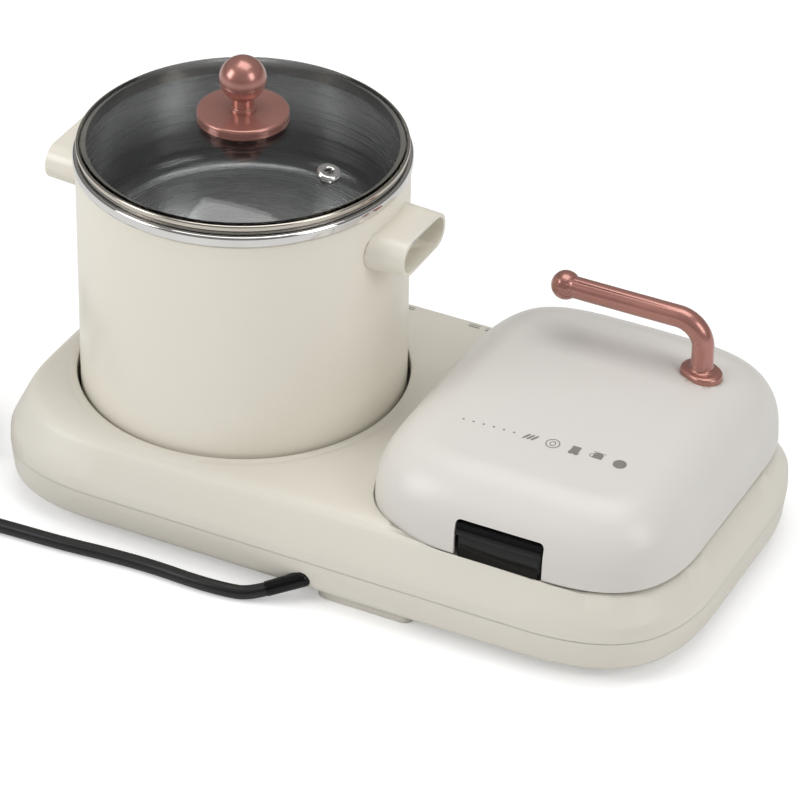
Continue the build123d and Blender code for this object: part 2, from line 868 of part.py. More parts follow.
def make_handle():
    foot = (post_x, post_y, handle_seat_height)
    path = FilletPolyline(foot, (post_x, post_y, handle_bar_height),
                          (handle_ball_x - ball_cut(), post_y, handle_bar_height), radius=handle_bend)
    body = sweep(Plane(origin=foot) * Circle(handle_radius), path=path)
    flange = handle_obround(0.0, handle_seat_height, handle_flange_top)
    body += fillet(flange.faces().sort_by(Axis.Z)[-1].edges(), 1.0)
    for x, y in handle_screw_places():
        body -= upright(x, y, handle_screw_radius + fit_gap / 10, handle_seat_height,
                        handle_flange_top - 0.8)
    return body


def make_handle_end_ball():
    ball = Pos(handle_ball_x, post_y, handle_bar_height) * Sphere(handle_ball_radius)
    half = handle_ball_radius + 1
    return ball - box_between(handle_ball_x - 2 * half, handle_ball_x - ball_cut(), post_y - half,
                              post_y + half, handle_bar_height - half, handle_bar_height + half)


def make_handle_screws():
    screws = Part()
    under = handle_seat_height - handle_pad_depth
    for x, y in handle_screw_places():
        screws += upright(x, y, handle_screw_head, under - 1.8, under)
        screws += upright(x, y, handle_screw_radius, under, handle_flange_top - 1.0)
    return screws


# Pot

def make_pot_shell():
    top = pot_rim_height - pot_bead_height - fit_gap / 2
    inner_r = pot_radius - pot_wall
    floor = pot_bottom + pot_wall
    centre_r = pot_radius - pot_bottom_corner
    centre_z = pot_bottom + pot_bottom_corner
    opening = pot_base_radius + fit_gap
    shell = lathe([
        run(opening, pot_bottom, centre_r, pot_bottom),
        bend(centre_r, centre_z, pot_bottom_corner, -90, 0),
        run(pot_radius, centre_z, pot_radius, top),
        run(pot_radius, top, inner_r, top),
        run(inner_r, top, inner_r, centre_z),
        bend(centre_r, centre_z, pot_bottom_corner - pot_wall, 0, -90),
        run(centre_r, floor, opening, floor),
        run(opening, floor, opening, pot_bottom)], pot_x)
    for side in (-1, 1):
        for y in (-rivet_spacing / 2, rivet_spacing / 2):
            shell -= rod((pot_x + side * (pot_radius - 8), y, ear_height), (side, 0, 0),
                         rivet_radius + fit_gap / 10, 16)
    return shell


def make_pot_liner():
    corner = pot_bottom_corner - pot_wall
    centre_r = liner_outer - corner
    floor = liner_floor + pot_liner_wall
    centre_z = liner_floor + corner
    bead_low = pot_rim_height - pot_bead_height
    round_r = pot_bead_radius - pot_bead_round
    low_z = bead_low + pot_bead_round
    high_z = pot_rim_height - pot_bead_round
    return lathe([
        run(0, liner_floor, centre_r, liner_floor),
        bend(centre_r, centre_z, corner, -90, 0),
        run(liner_outer, centre_z, liner_outer, bead_low),
        run(liner_outer, bead_low, round_r, bead_low),
        bend(round_r, low_z, pot_bead_round, -90, 0),
        run(pot_bead_radius, low_z, pot_bead_radius, high_z),
        bend(round_r, high_z, pot_bead_round, 0, 90),
        run(round_r, pot_rim_height, liner_inner, pot_rim_height),
        run(liner_inner, pot_rim_height, liner_inner, centre_z),
        bend(centre_r, centre_z, corner - pot_liner_wall, 0, -90),
        run(centre_r, floor, 0, floor),
        run(0, floor, 0, liner_floor)], pot_x)


def make_pot_base_plate():
    return turned([(0, pot_bottom), (pot_base_radius - 1, pot_bottom), (pot_base_radius, pot_bottom + 1),
                   (pot_base_radius, liner_floor), (0, liner_floor)], pot_x)


def ear_loft(shrink, near, far):
    """Oval sleeve form along X from near to far, widening towards the pot."""
    wires = []
    for x, flare in ((near, ear_flare), (far, 0.0)):
        sketch = SlotOverall(ear_length + flare - 2 * shrink, ear_thickness + flare / 2 - 2 * shrink)
        plane = Plane(origin=(x, 0, ear_height), x_dir=(0, 1, 0), z_dir=(1, 0, 0))
        wires.append((plane * sketch).wires()[0])
    return straight_loft(*wires)


def make_ear(turn):
    near = pot_radius - 8.0
    hollow = ear_loft(ear_wall, near, ear_reach) - upright(0, 0, pot_radius + ear_web, 0, pot_rim_height)
    ear = ear_loft(0.0, near, ear_reach) - hollow
    ear -= upright(0, 0, pot_radius + running_gap, 0, pot_rim_height)
    for y in (-rivet_spacing / 2, rivet_spacing / 2):
        ear -= rod((near, y, ear_height), (1, 0, 0), rivet_radius + fit_gap / 10, 20)
    return Pos(pot_x, 0, 0) * Rot(0, 0, turn) * ear


def make_ear_rivets():
    """Rivets that hold each ear, with their heads inside the ear's hollow."""
    rivets = Part()
    y = rivet_spacing / 2
    start = math.sqrt((pot_radius - pot_wall) ** 2 - y ** 2) + fit_gap
    head = math.sqrt((pot_radius + ear_web) ** 2 - (y - rivet_head_radius) ** 2)
    for side in (-1, 1):
        for place in (-y, y):
            shank = (pot_x + side * start, place, ear_height)
            rivets += rod(shank, (side, 0, 0), rivet_radius, head - start)
            rivets += rod((pot_x + side * head, place, ear_height), (side, 0, 0), rivet_head_radius,
                          rivet_head_height)
    return rivets


def make_inner_pan():
    top = pan_flange_bottom + pan_wall
    bottom = top - pan_depth
    floor = bottom + pan_wall
    centre_r = pan_outer - pan_corner
    centre_z = bottom + pan_corner
    return lathe([
        run(0, bottom, centre_r, bottom),
        bend(centre_r, centre_z, pan_corner, -90, 0),
        run(pan_outer, centre_z, pan_outer, pan_flange_bottom),
        run(pan_outer, pan_flange_bottom, pan_rim_radius, pan_flange_bottom),
        run(pan_rim_radius, pan_flange_bottom, pan_rim_radius, top),
        run(pan_rim_radius, top, pan_inner, top),
        run(pan_inner, top, pan_inner, centre_z),
        bend(centre_r, centre_z, pan_corner - pan_wall, 0, -90),
        run(centre_r, floor, 0, floor),
        run(0, floor, 0, bottom)], pot_x)


# Pot lid

def glass_height(radius, low=False):
    """Height of the glass's top face, or its bottom face, at a radius."""
    top = glass_top - glass_thickness if low else glass_top
    return top - glass_sphere + math.sqrt(glass_sphere ** 2 - radius ** 2)


def glass_arc(r0, r1, low=False, lift=0.0):
    radii = (r0, (r0 + r1) / 2, r1)
    return ThreePointArc(*[(r, 0, glass_height(r, low) + lift) for r in radii])


def vent_plane():
    """Plane on the glass at the steam vent, with its normal pointing out."""
    a = math.radians(vent_angle)
    across = (vent_distance * math.cos(a), vent_distance * math.sin(a))
    lean = math.sqrt(glass_sphere ** 2 - vent_distance ** 2)
    point = (pot_x + across[0], across[1], glass_height(vent_distance))
    return Plane(origin=point, z_dir=(across[0], across[1], lean))


def make_lid_glass():
    bore = knob_screw_radius + fit_gap
    edge = glass_edge_radius
    glass = lathe([
        glass_arc(bore, edge, True),
        run(edge, glass_height(edge, True), edge, glass_height(edge)),
        glass_arc(edge, bore),
        run(bore, glass_height(bore), bore, glass_height(bore, True))], pot_x)
    return glass - extrude(vent_plane() * Circle(eyelet_neck + fit_gap / 2), 2 * glass_thickness, both=True)


def make_lid_rim():
    inner = pan_inner - skirt_gap - skirt_wall
    foot = ring_bottom - skirt_depth
    ledge = ring_bottom + ring_ledge
    under = ring_bottom + ring_undercut
    rim = ring_radius - ring_rim_width
    round_r = ring_rim_width / 2
    round_z = ring_bottom + ring_height - round_r
    return lathe([
        run(inner, foot, inner + skirt_wall, foot),
        run(inner + skirt_wall, foot, inner + skirt_wall, ring_bottom),
        run(inner + skirt_wall, ring_bottom, ring_seat, ring_bottom),
        run(ring_seat, ring_bottom, ring_seat, under),
        run(ring_seat, under, ring_radius, under),
        run(ring_radius, under, ring_radius, round_z),
        bend(ring_radius - round_r, round_z, round_r, 0, 180),
        run(rim, round_z, rim, ledge),
        run(rim, ledge, inner, ledge),
        run(inner, ledge, inner, foot)], pot_x)


def make_lid_knob_base():
    bore = knob_screw_radius + fit_gap
    edge = knob_disc_radius
    return lathe([
        glass_arc(bore, edge, lift=fit_gap),
        run(edge, glass_height(edge) + fit_gap, edge, disc_top - 1.0),
        bend(edge - 1.0, disc_top - 1.0, 1.0, 0, 90),
        run(edge - 1.0, disc_top, bore, disc_top),
        run(bore, disc_top, bore, glass_height(bore) + fit_gap)], pot_x)


def make_lid_knob():
    centre = disc_top + knob_neck_height + knob_ball_radius
    knob = upright(pot_x, 0, knob_neck_radius + 1.2, disc_top, disc_top + 1.4)
    knob += upright(pot_x, 0, knob_neck_radius, disc_top, centre - knob_ball_radius / 2)
    knob += Pos(pot_x, 0, centre) * Sphere(knob_ball_radius)
    return knob - upright(pot_x, 0, knob_screw_radius + fit_gap / 10, disc_top, disc_top + knob_screw_depth)


def make_lid_knob_screw():
    under = glass_height(0.0, True) - fit_gap
    head = upright(pot_x, 0, knob_screw_head, under - 2.0, under)
    return head + upright(pot_x, 0, knob_screw_radius, under, disc_top + knob_screw_depth - 1)


def make_steam_vent():
    plane = vent_plane()
    reach = glass_thickness + fit_gap
    vent = extrude(plane.offset(fit_gap) * Circle(eyelet_radius), eyelet_flange)
    vent += extrude(plane.offset(-reach) * Circle(eyelet_radius - 1), -eyelet_flange)
    vent += extrude(plane.offset(-reach) * Circle(eyelet_neck), reach + eyelet_flange)
    return vent - extrude(plane * Circle(eyelet_bore), 3 * glass_thickness, both=True)


# Controls and wiring

def d_section(radius, flat):
    """Round section with one flat side."""
    return Circle(radius) - Pos(0, flat + radius) * Rectangle(2 * radius, 2 * radius)


def make_knob(x):
    """Control knob with a skirt, a grip bar and a flatted bore."""
    skirt = to_rear(x, knob_back - knob_skirt_depth, control_height, Circle(knob_radius),
                    knob_skirt_depth)
    skirt = chamfer(skirt.faces().sort_by(Axis.Y)[0].edges(), 1.2)
    grip_form = RectangleRounded(knob_grip_width, 2 * knob_radius - 4, knob_grip_width * 0.4)
    grip = to_rear(x, knob_back - knob_depth, control_height, grip_form, knob_depth)
    grip = fillet(grip.faces().sort_by(Axis.Y)[0].edges(), 1.0)
    bore = d_section(shaft_radius + running_gap, shaft_flat + running_gap)
    return skirt + grip - to_rear(x, knob_back - knob_depth + shaft_inset, control_height, bore, knob_depth)


def make_shaft(x, depth):
    """Control shaft, flatted inside the knob and round inside its movement."""
    start = knob_back - knob_depth + shaft_inset + fit_gap
    shaft = to_rear(x, start, control_height, d_section(shaft_radius, shaft_flat), knob_back - start)
    rest = control_front + depth - knob_back
    return shaft + to_rear(x, knob_back, control_height, Circle(shaft_radius), rest)


def make_movement(x, length, depth, height):
    """Switch or timer body on the floor of the housing, with a bored collar to the front."""
    body = box_between(x - length / 2, x + length / 2, control_front, control_front + depth, floor_top,
                       floor_top + height)
    body += to_rear(x, control_front - 2, control_height, Circle(shaft_radius + 2.5), 3)
    return body - to_rear(x, control_front - 2, control_height, Circle(shaft_radius + running_gap),
                          depth * 0.6 + 2.5)


def button_levels():
    """Y of the button's face and of its flange's two sides."""
    face = -base_width / 2 - button_stand
    flange = -base_width / 2 + lower_draft + wall - touch_gap
    return face, flange, flange + button_flange_thickness


def make_start_button():
    face, flange, back = button_levels()
    form = RectangleRounded(button_length, button_width, button_corner)
    cap = to_rear(button_x, face, control_height, form, flange - face)
    cap = fillet(cap.faces().sort_by(Axis.Y)[0].edges(), 0.8)
    rim = RectangleRounded(button_length + 2 * button_flange, button_width + 2 * button_flange,
                           button_corner)
    cap += to_rear(button_x, flange, control_height, rim, back - flange)
    stem = button_switch_front + button_stem_reach - back
    return cap + to_rear(button_x, back, control_height, Circle(button_stem_radius), stem)


def make_button_switch():
    half = button_switch_size / 2
    body = box_between(button_x - half, button_x + half, button_switch_front,
                       button_switch_front + button_switch_size, floor_top, control_height + half)
    return body - to_rear(button_x, button_switch_front, control_height,
                          Circle(button_stem_radius + running_gap), button_stem_reach + button_travel + 1)


def make_button_spring():
    front = button_levels()[2] + button_travel + touch_gap
    length = button_switch_front - front
    coil = spring(button_spring_radius, button_spring_wire, length, button_spring_turns)
    return Pos(button_x, front, control_height) * Rot(-90, 0, 0) * coil


def make_indicator_lenses():
    lenses = Part()
    for x in lens_places():
        start = slope_plane(x).offset(fit_gap - board_depth)
        lenses += extrude(start * Circle(lens_radius), board_depth - fit_gap + lens_stand)
    return lenses


def make_indicator_board():
    plane = slope_plane(lens_x).offset(-board_depth - board_thickness)
    return extrude(plane * Rectangle(board_length, board_width), board_thickness)


def make_terminal_block():
    side = terminal_length / 2
    block = box_between(-side, side, terminal_y - terminal_width / 2, terminal_y + terminal_width / 2,
                        floor_top, floor_top + terminal_height)
    for k in (-1, 0, 1):
        for x in (-side / 2, side / 2):
            block -= upright(x, terminal_y + k * terminal_width / 3.5, 1.8, floor_top + terminal_height / 2,
                             floor_top + terminal_height + 1)
    return block


def make_wire(points):
    """Insulated lead that lies on the floor of the housing."""
    level = floor_top + wire_radius + running_gap
    placed = [(x, y, level) for x, y in points]
    heading = Vector(placed[1]) - Vector(placed[0])
    section = Plane(origin=placed[0], z_dir=heading) * Circle(wire_radius)
    return sweep(section, path=FilletPolyline(*placed, radius=wire_bend))


def make_wire_harness():
    side = terminal_length / 2 + running_gap
    front = terminal_y - terminal_width / 2 - running_gap
    row = control_front + heat_depth * 0.7
    timer_side = timer_x + timer_length / 2 + running_gap
    heat_side = heat_x - heat_length / 2 - running_gap
    button_side = button_x - button_switch_size / 2 - running_gap
    wires = make_wire([(-side, 62), (-24, 62), (-24, row), (timer_side, row)])
    wires += make_wire([(0, front), (0, 8), (60, 8), (60, row), (heat_side, row)])
    return wires + make_wire([(-6, front), (-6, -70), (20, -70), (20, row), (button_side, row)])


# Cord

def relief_cone(growth):
    """Tapered strain relief outside the housing, grown all round."""
    plane = Plane(origin=cord_exit, z_dir=cord_heading)
    wires = [(plane * Circle(relief_radius + growth)).wires()[0],
             (plane.offset(relief_length) * Circle(relief_tip_radius + growth)).wires()[0]]
    return straight_loft(*wires)


def make_cord_grommet():
    x, y, z = cord_exit
    body = to_rear(x, y - neck_length, z, Circle(relief_radius), neck_length)
    body += Pos(x, y, z) * Sphere(relief_radius)
    body += relief_cone(0.0)
    flange = y - 2 * wall - neck_flange_width
    return body + box_between(x - neck_flange_reach, x + neck_flange_reach, flange,
                              flange + neck_flange_width, floor_top + fit_gap, z + neck_flange_reach)


def make_cord_clamp():
    x, y, z = cord_exit
    low = y - neck_length
    high = low + clamp_width
    side = 2 * relief_radius
    clamp = box_between(x - side, x + side, low, high, floor_top, z + relief_radius + 2.5)
    clamp -= to_rear(x, low, z, Circle(relief_radius + running_gap), clamp_width)
    half = relief_radius + running_gap
    return clamp - box_between(x - half, x + half, low, high, floor_top, z)


def cord_radii():
    """Radius of each bend, as large as its two runs allow."""
    points = [Vector(p) for p in cord_points]
    radii = []
    for before, corner, after in zip(points, points[1:], points[2:]):
        turn = math.radians((corner - before).get_angle(after - corner))
        shorter = min((corner - before).length, (after - corner).length)
        radii.append(0.45 * shorter / math.tan(turn / 2))
    return radii


def make_power_cord():
    path = FilletPolyline(*cord_points, radius=cord_radii())
    heading = Vector(cord_points[1]) - Vector(cord_points[0])
    tube = sweep(Plane(origin=cord_points[0], z_dir=heading) * Circle(cord_radius), path=path)
    print("cord bend radii", [round(r, 1) for r in cord_radii()], "length", round(path.length, 1))
    print("cord volume over section times length",
          round(tube.volume / (math.pi * cord_radius ** 2 * path.length), 4))
    return tube


def coil_stations():
    """Points and headings of the coil: in on the table, up a layer, and out again."""
    quarter = coil_pitch / 4
    inward = round(4 * coil_inward_turns)
    outward = round(4 * coil_outward_turns)
    upper = cord_radius + coil_pitch
    steps = [(coil_radius - quarter * k, cord_radius, -coil_pitch, 0.0) for k in range(inward + 1)]
    steps.append((coil_inner - quarter, cord_radius + coil_pitch / 2, 0.0, coil_pitch))
    steps += [(coil_inner + quarter * k, upper, coil_pitch, 0.0) for k in range(outward + 1)]
    stations = []
    for k, (radius, height, drift, climb) in enumerate(steps):
        angle = math.pi / 2 - k * math.pi / 2
        out = Vector(math.cos(angle), math.sin(angle), 0)
        onward = Vector(math.sin(angle), -math.cos(angle), 0)
        turn = 2 * math.pi * radius
        heading = onward + out * (drift / turn) + Vector(0, 0, 2 * climb / turn)
        stations.append((Vector(coil_x, coil_y, height) + out * radius, heading.normalized()))
    end = stations[-1][0]
    down = Vector(0, -1, 0)
    stations.append((Vector(end.X + tail_drift, end.Y - tail_flat, end.Z), down))
    stations.append((Vector(end.X + 2 * tail_drift, end.Y - tail_reach, plug_thickness / 2), down))
    return stations


def least_gap(edges):
    """Smallest gap of the coil to itself, measured on points along it."""
    points = []
    travelled = 0.0
    for edge in edges:
        count = max(2, round(edge.length / 3))
        points += [(travelled + edge.length * k / count, edge @ (k / count)) for k in range(count)]
        travelled += edge.length
    gaps = [(p - q).length for s, p in points for t, q in points if t - s > 4 * cord_diameter]
    return min(gaps) - cord_diameter


def make_cord_coil():
    edges = wound_path(coil_stations(), cord_diameter)
    print("coil length", round(sum(e.length for e in edges), 1), "least gap", round(least_gap(edges), 2))
    return wound_tube(coil_stations(), cord_radius, cord_diameter)


def make_cord_tie():
    """Clip over the coil's turns, on the side near the base."""
    inner = coil_x - (coil_inner - coil_pitch / 4 - cord_radius - tie_gap)
    outer = coil_x - (coil_radius - coil_pitch * 0.75 + cord_radius + tie_gap)
    top = cord_diameter + coil_pitch + tie_gap
    half = tie_width / 2
    clip = box_between(outer - tie_thickness, inner + tie_thickness, coil_y - half, coil_y + half,
                       0.0, top + tie_thickness)
    return clip - box_between(outer, inner, coil_y - tie_width, coil_y + tie_width, -1, top)


def plug_entry():
    """Point where the cord enters the plug, heading -Y."""
    end = coil_stations()[-1][0]
    return Vector(end.X, end.Y - cord_diameter, end.Z)


def plug_section(distance, width, thickness):
    """Rounded outline across the plug, at a distance from where the cord enters."""
    entry = plug_entry()
    plane = Plane(origin=(entry.X, entry.Y - distance, entry.Z), x_dir=(1, 0, 0), z_dir=(0, -1, 0))
    return (plane * RectangleRounded(width, thickness, thickness * 0.45)).wires()[0]


def make_mains_plug():
    neck = 2 * plug_relief_radius
    collar = plug_section(plug_relief_length, neck, neck)
    waist = plug_section(plug_relief_length + plug_waist, plug_width - 4, plug_thickness)
    face = plug_section(plug_relief_length + plug_length, plug_width, plug_thickness)
    body = straight_loft(plug_section(0, neck - 1, neck - 1), collar)
    return body + straight_loft(collar, waist) + straight_loft(waist, face)


def make_plug_pins():
    entry = plug_entry()
    y = entry.Y - plug_relief_length - plug_length
    pins = Part()
    for side in (-1, 1):
        pin = rod((entry.X + side * pin_spacing / 2, y, entry.Z), (0, -1, 0), pin_radius, pin_length)
        pins += chamfer(pin.faces().sort_by(Axis.Y)[0].edges(), 0.8)
    return pins


nodes = {
    "lower_housing": make_lower_housing(),
    "upper_housing": make_upper_housing(),
    "rear_foot_block": make_rear_block(),
    "rubber_feet": make_feet(),
    "housing_screws": make_housing_screws(),
    "pot_well_liner": make_pot_well_liner(),
    "hot_plate": make_hot_plate(),
    "hot_plate_element": make_hot_plate_element(),
    "hot_plate_bracket": make_hot_plate_bracket(),
    "sensor_guide": make_sensor_guide(),
    "sensor_spring": make_sensor_spring(),
    "sensor_cap": make_sensor_cap(),
    "lower_press_tray": make_lower_press_tray(),
    "lower_press_plate": make_lower_press_plate(),
    "lower_press_element": plate_element(lower_plate_top - plate_depth - element_radius - element_gap),
    "press_thermostat": make_press_thermostat(),
    "thermal_fuse": make_thermal_fuse(),
    "hinge_bracket": make_hinge_bracket(),
    "hinge_pin": make_hinge_pin(),
    "terminal_block": make_terminal_block(),
    "wire_harness": make_wire_harness(),
    "timer_movement": make_movement(timer_x, timer_length, timer_depth, 2 * (control_height - floor_top)),
    "heat_switch": make_movement(heat_x, heat_length, heat_depth, heat_height),
    "timer_knob": make_knob(timer_x),
    "timer_shaft": make_shaft(timer_x, timer_depth / 2),
    "power_knob": make_knob(heat_x),
    "power_shaft": make_shaft(heat_x, heat_depth / 2),
    "start_button": make_start_button(),
    "button_switch": make_button_switch(),
    "button_spring": make_button_spring(),
    "indicator_lenses": make_indicator_lenses(),
    "indicator_board": make_indicator_board(),
    "cord_grommet": make_cord_grommet(),
    "cord_clamp": make_cord_clamp(),
    "power_cord": make_power_cord(),
    "cord_coil": make_cord_coil(),
    "cord_tie": make_cord_tie(),
    "mains_plug": make_mains_plug(),
    "plug_pins": make_plug_pins(),
    "press_cover": make_press_cover(),
    "press_liner": make_press_liner(),
    "upper_press_plate": make_upper_press_plate(),
    "upper_press_element": plate_element(upper_plate_bottom + plate_depth + element_radius + element_gap),
    "handle": make_handle(),
    "handle_end_ball": make_handle_end_ball(),
    "handle_screws": make_handle_screws(),
    "cover_screws": make_cover_screws(),
    "pot_shell": make_pot_shell(),
    "pot_liner": make_pot_liner(),
    "pot_base_plate": make_pot_base_plate(),
    "press_side_ear": make_ear(180),
    "outer_side_ear": make_ear(0),
    "ear_rivets": make_ear_rivets(),
    "inner_pan": make_inner_pan(),
    "lid_glass": make_lid_glass(),
    "lid_rim": make_lid_rim(),
    "lid_knob": make_lid_knob(),
    "lid_knob_base": make_lid_knob_base(),
    "lid_knob_screw": make_lid_knob_screw(),
    "steam_vent": make_steam_vent(),
}

for name, shape in nodes.items():
    export_step(shape, f"parts/{name}.step")
print(len(nodes), "nodes written")
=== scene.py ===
# %% [markdown]
# A breakfast station seen from its rear corner: a long ivory base, a pot with a glass lid in a
# round well, and a hinged press with a rose-gold handle. The rigid pieces come from the CAD frame.
# This lesson gives them their finishes, remakes the round ones as fine turned meshes, and adds
# the cord, the printed marks and the small trims.

# %% Load the frame
import math
import bpy
import bmesh
from mathutils import Matrix, Vector


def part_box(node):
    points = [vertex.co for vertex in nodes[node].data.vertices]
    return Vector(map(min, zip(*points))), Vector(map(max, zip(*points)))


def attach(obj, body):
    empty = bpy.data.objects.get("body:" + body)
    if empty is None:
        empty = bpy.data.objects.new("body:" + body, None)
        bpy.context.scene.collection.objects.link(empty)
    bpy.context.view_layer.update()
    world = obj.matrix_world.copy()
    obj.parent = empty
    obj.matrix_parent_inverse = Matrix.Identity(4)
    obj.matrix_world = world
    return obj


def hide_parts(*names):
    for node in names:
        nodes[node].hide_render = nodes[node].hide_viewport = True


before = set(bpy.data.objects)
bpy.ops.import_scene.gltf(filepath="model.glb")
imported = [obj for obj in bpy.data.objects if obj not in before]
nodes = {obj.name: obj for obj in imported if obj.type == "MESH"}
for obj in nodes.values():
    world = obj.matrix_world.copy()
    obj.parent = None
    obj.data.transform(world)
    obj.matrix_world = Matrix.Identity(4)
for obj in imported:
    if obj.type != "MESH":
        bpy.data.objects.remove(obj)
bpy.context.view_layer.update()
mm = 0.001

# %% [markdown]
# The camera comes first, set to the view of one photograph. A long lens stands
# far away, so the lines stay nearly parallel. Azimuth and elevation place it on a sphere round
# the machine, and three small turns finish its aim.

# %% Camera
view_azimuth = math.radians(26.15)
view_elevation = math.radians(34.54)
view_distance = 2.3751
view_centre = Vector((0, 0, 0.027))
aim_yaw = math.radians(-0.02)
aim_pitch = math.radians(0.69)
aim_roll = math.radians(-1.06)
lens_length = 198.0

outward = Vector((-math.cos(view_elevation) * math.sin(view_azimuth),
                  math.cos(view_elevation) * math.cos(view_azimuth),
                  math.sin(view_elevation)))
forward = -outward
right = forward.cross(Vector((0, 0, 1))).normalized()
upward = right.cross(forward)
aim = Matrix.Rotation(aim_pitch, 3, right) @ Matrix.Rotation(aim_yaw, 3, upward)
forward = aim @ forward
roll = Matrix.Rotation(aim_roll, 3, forward)
right = roll @ aim @ right
upward = roll @ aim @ upward

camera_data = bpy.data.cameras.new("camera")
camera_data.lens = lens_length
camera_data.sensor_width = 36.0
camera_data.clip_end = 20.0
camera = bpy.data.objects.new("camera", camera_data)
facing = Matrix((right, upward, -forward)).transposed().to_4x4()
camera.matrix_world = Matrix.Translation(view_centre + outward * view_distance) @ facing
bpy.context.collection.objects.link(camera)
bpy.context.scene.camera = camera
print("camera at", [round(c, 4) for c in camera.matrix_world.translation])

# %% [markdown]
# The light is a plain white studio: two soft boxes on either side, which give the paired
# highlights on the round knob, a wide one overhead, and an even pale world. Polished pieces see
# the world darker near the horizon, as they would see the far wall of a studio. The view
# transform is Standard, so that a colour renders about as it is written.

# %% Lights and world
bpy.context.scene.view_settings.view_transform = "Standard"
light_target = Vector((0, 0, 0.08))


def soft_box(name, place, width, height, power):
    """Area light that looks at the machine."""
    data = bpy.data.lights.new(name, "AREA")
    data.shape = "RECTANGLE"
    data.size = width
    data.size_y = height
    data.energy = power
    lamp = bpy.data.objects.new(name, data)
    lamp.location = place
    lamp.rotation_euler = (light_target - Vector(place)).to_track_quat("-Z", "Y").to_euler()
    bpy.context.collection.objects.link(lamp)
    print(name, "power", power)


soft_box("left_box", (1.5, 1.3, 1.2), 0.9, 1.2, 18.0)
soft_box("right_box", (-1.9, 0.4, 1.3), 0.9, 1.2, 13.0)
soft_box("top_box", (0.0, -0.2, 2.0), 1.6, 1.2, 15.0)

ambient_strength = 0.42
far_wall_levels = ((0.0, 0.30), (0.08, 0.10), (0.20, 0.14), (0.36, 0.30), (0.60, 0.24), (1.0, 0.45))
world = bpy.data.worlds.new("studio")
bpy.context.scene.world = world
world.use_nodes = True
world_nodes = world.node_tree.nodes
world_links = world.node_tree.links
ambient = world_nodes["Background"]
ambient.inputs["Color"].default_value = (1.0, 1.0, 1.0, 1.0)
ambient.inputs["Strength"].default_value = ambient_strength
shown = world_nodes.new("ShaderNodeBackground")
shown.inputs["Strength"].default_value = 1.0
choose = world_nodes.new("ShaderNodeMixShader")


def shown_rays(tree, kinds):
    """1 for camera rays and the kinds named, which all see the bright background."""
    seen = tree.nodes.new("ShaderNodeLightPath")
    total = seen.outputs["Is Camera Ray"]
    for kind in kinds:
        either = tree.nodes.new("ShaderNodeMath")
        either.operation = "MAXIMUM"
        tree.links.new(total, either.inputs[0])
        tree.links.new(seen.outputs[kind], either.inputs[1])
        total = either.outputs["Value"]
    return total


def grey(level):
    return (level, level, level, 1.0)


def fill_ramp(ramp, levels):
    """Greys of a colour ramp, given from its start to its end as (place, level)."""
    ramp.elements[0].color = grey(levels[0][1])
    ramp.elements[1].color = grey(levels[-1][1])
    for place, level in levels[1:-1]:
        ramp.elements.new(place).color = grey(level)


def darken_horizon(tree):
    """A studio's dark far wall, which only polished pieces reflect."""
    look = tree.nodes.new("ShaderNodeTexCoord")
    parts = tree.nodes.new("ShaderNodeSeparateXYZ")
    tree.links.new(look.outputs["Generated"], parts.inputs["Vector"])
    bands = tree.nodes.new("ShaderNodeValToRGB")
    fill_ramp(bands.color_ramp, far_wall_levels)
    tree.links.new(parts.outputs["Z"], bands.inputs["Fac"])
    rays = tree.nodes.new("ShaderNodeLightPath")
    tone = tree.nodes.new("ShaderNodeMix")
    tone.data_type = "RGBA"
    tone.inputs["A"].default_value = (1.0, 1.0, 1.0, 1.0)
    tree.links.new(rays.outputs["Is Glossy Ray"], tone.inputs["Factor"])
    tree.links.new(bands.outputs["Color"], tone.inputs["B"])
    tree.links.new(tone.outputs["Result"], shown.inputs["Color"])


darken_horizon(world.node_tree)
world_rays = shown_rays(world.node_tree, ("Is Glossy Ray", "Is Transmission Ray"))
world_links.new(world_rays, choose.inputs["Fac"])
world_links.new(ambient.outputs["Background"], choose.inputs[1])
world_links.new(shown.outputs["Background"], choose.inputs[2])
world_links.new(choose.outputs["Shader"], world_nodes["World Output"].inputs["Surface"])

# %% [markdown]
# Moulded plastic isn't one flat colour: it has a fine spark-eroded grain, faint cloudiness and a
# gloss that wanders a little. One node group makes these three effects, and each plastic finish
# places it with its own colours, grain size and depth.

# %% Node group for moulded plastic


def add_socket(group, name, way, kind, value=None):
    socket = group.interface.new_socket(name=name, in_out=way, socket_type=kind)
    if value is not None:
        socket.default_value = value


def group_nodes(name):
    """New shader group with its input and output nodes."""
    group = bpy.data.node_groups.new(name, "ShaderNodeTree")
    inside = group.nodes.new("NodeGroupInput")
    outside = group.nodes.new("NodeGroupOutput")
    return group, inside, outside


def noise_node(tree, scale, detail=2.0):
    noise = tree.nodes.new("ShaderNodeTexNoise")
    noise.inputs["Scale"].default_value = scale
    noise.inputs["Detail"].default_value = detail
    return noise


def spread(tree, source, low, high):
    """Map Range node that turns a 0 to 1 value into another range."""
    ranged = tree.nodes.new("ShaderNodeMapRange")
    ranged.inputs["From Min"].default_value = 0.3
    ranged.inputs["From Max"].default_value = 0.7
    ranged.inputs["To Min"].default_value = low
    ranged.inputs["To Max"].default_value = high
    tree.links.new(source, ranged.inputs["Value"])
    return ranged


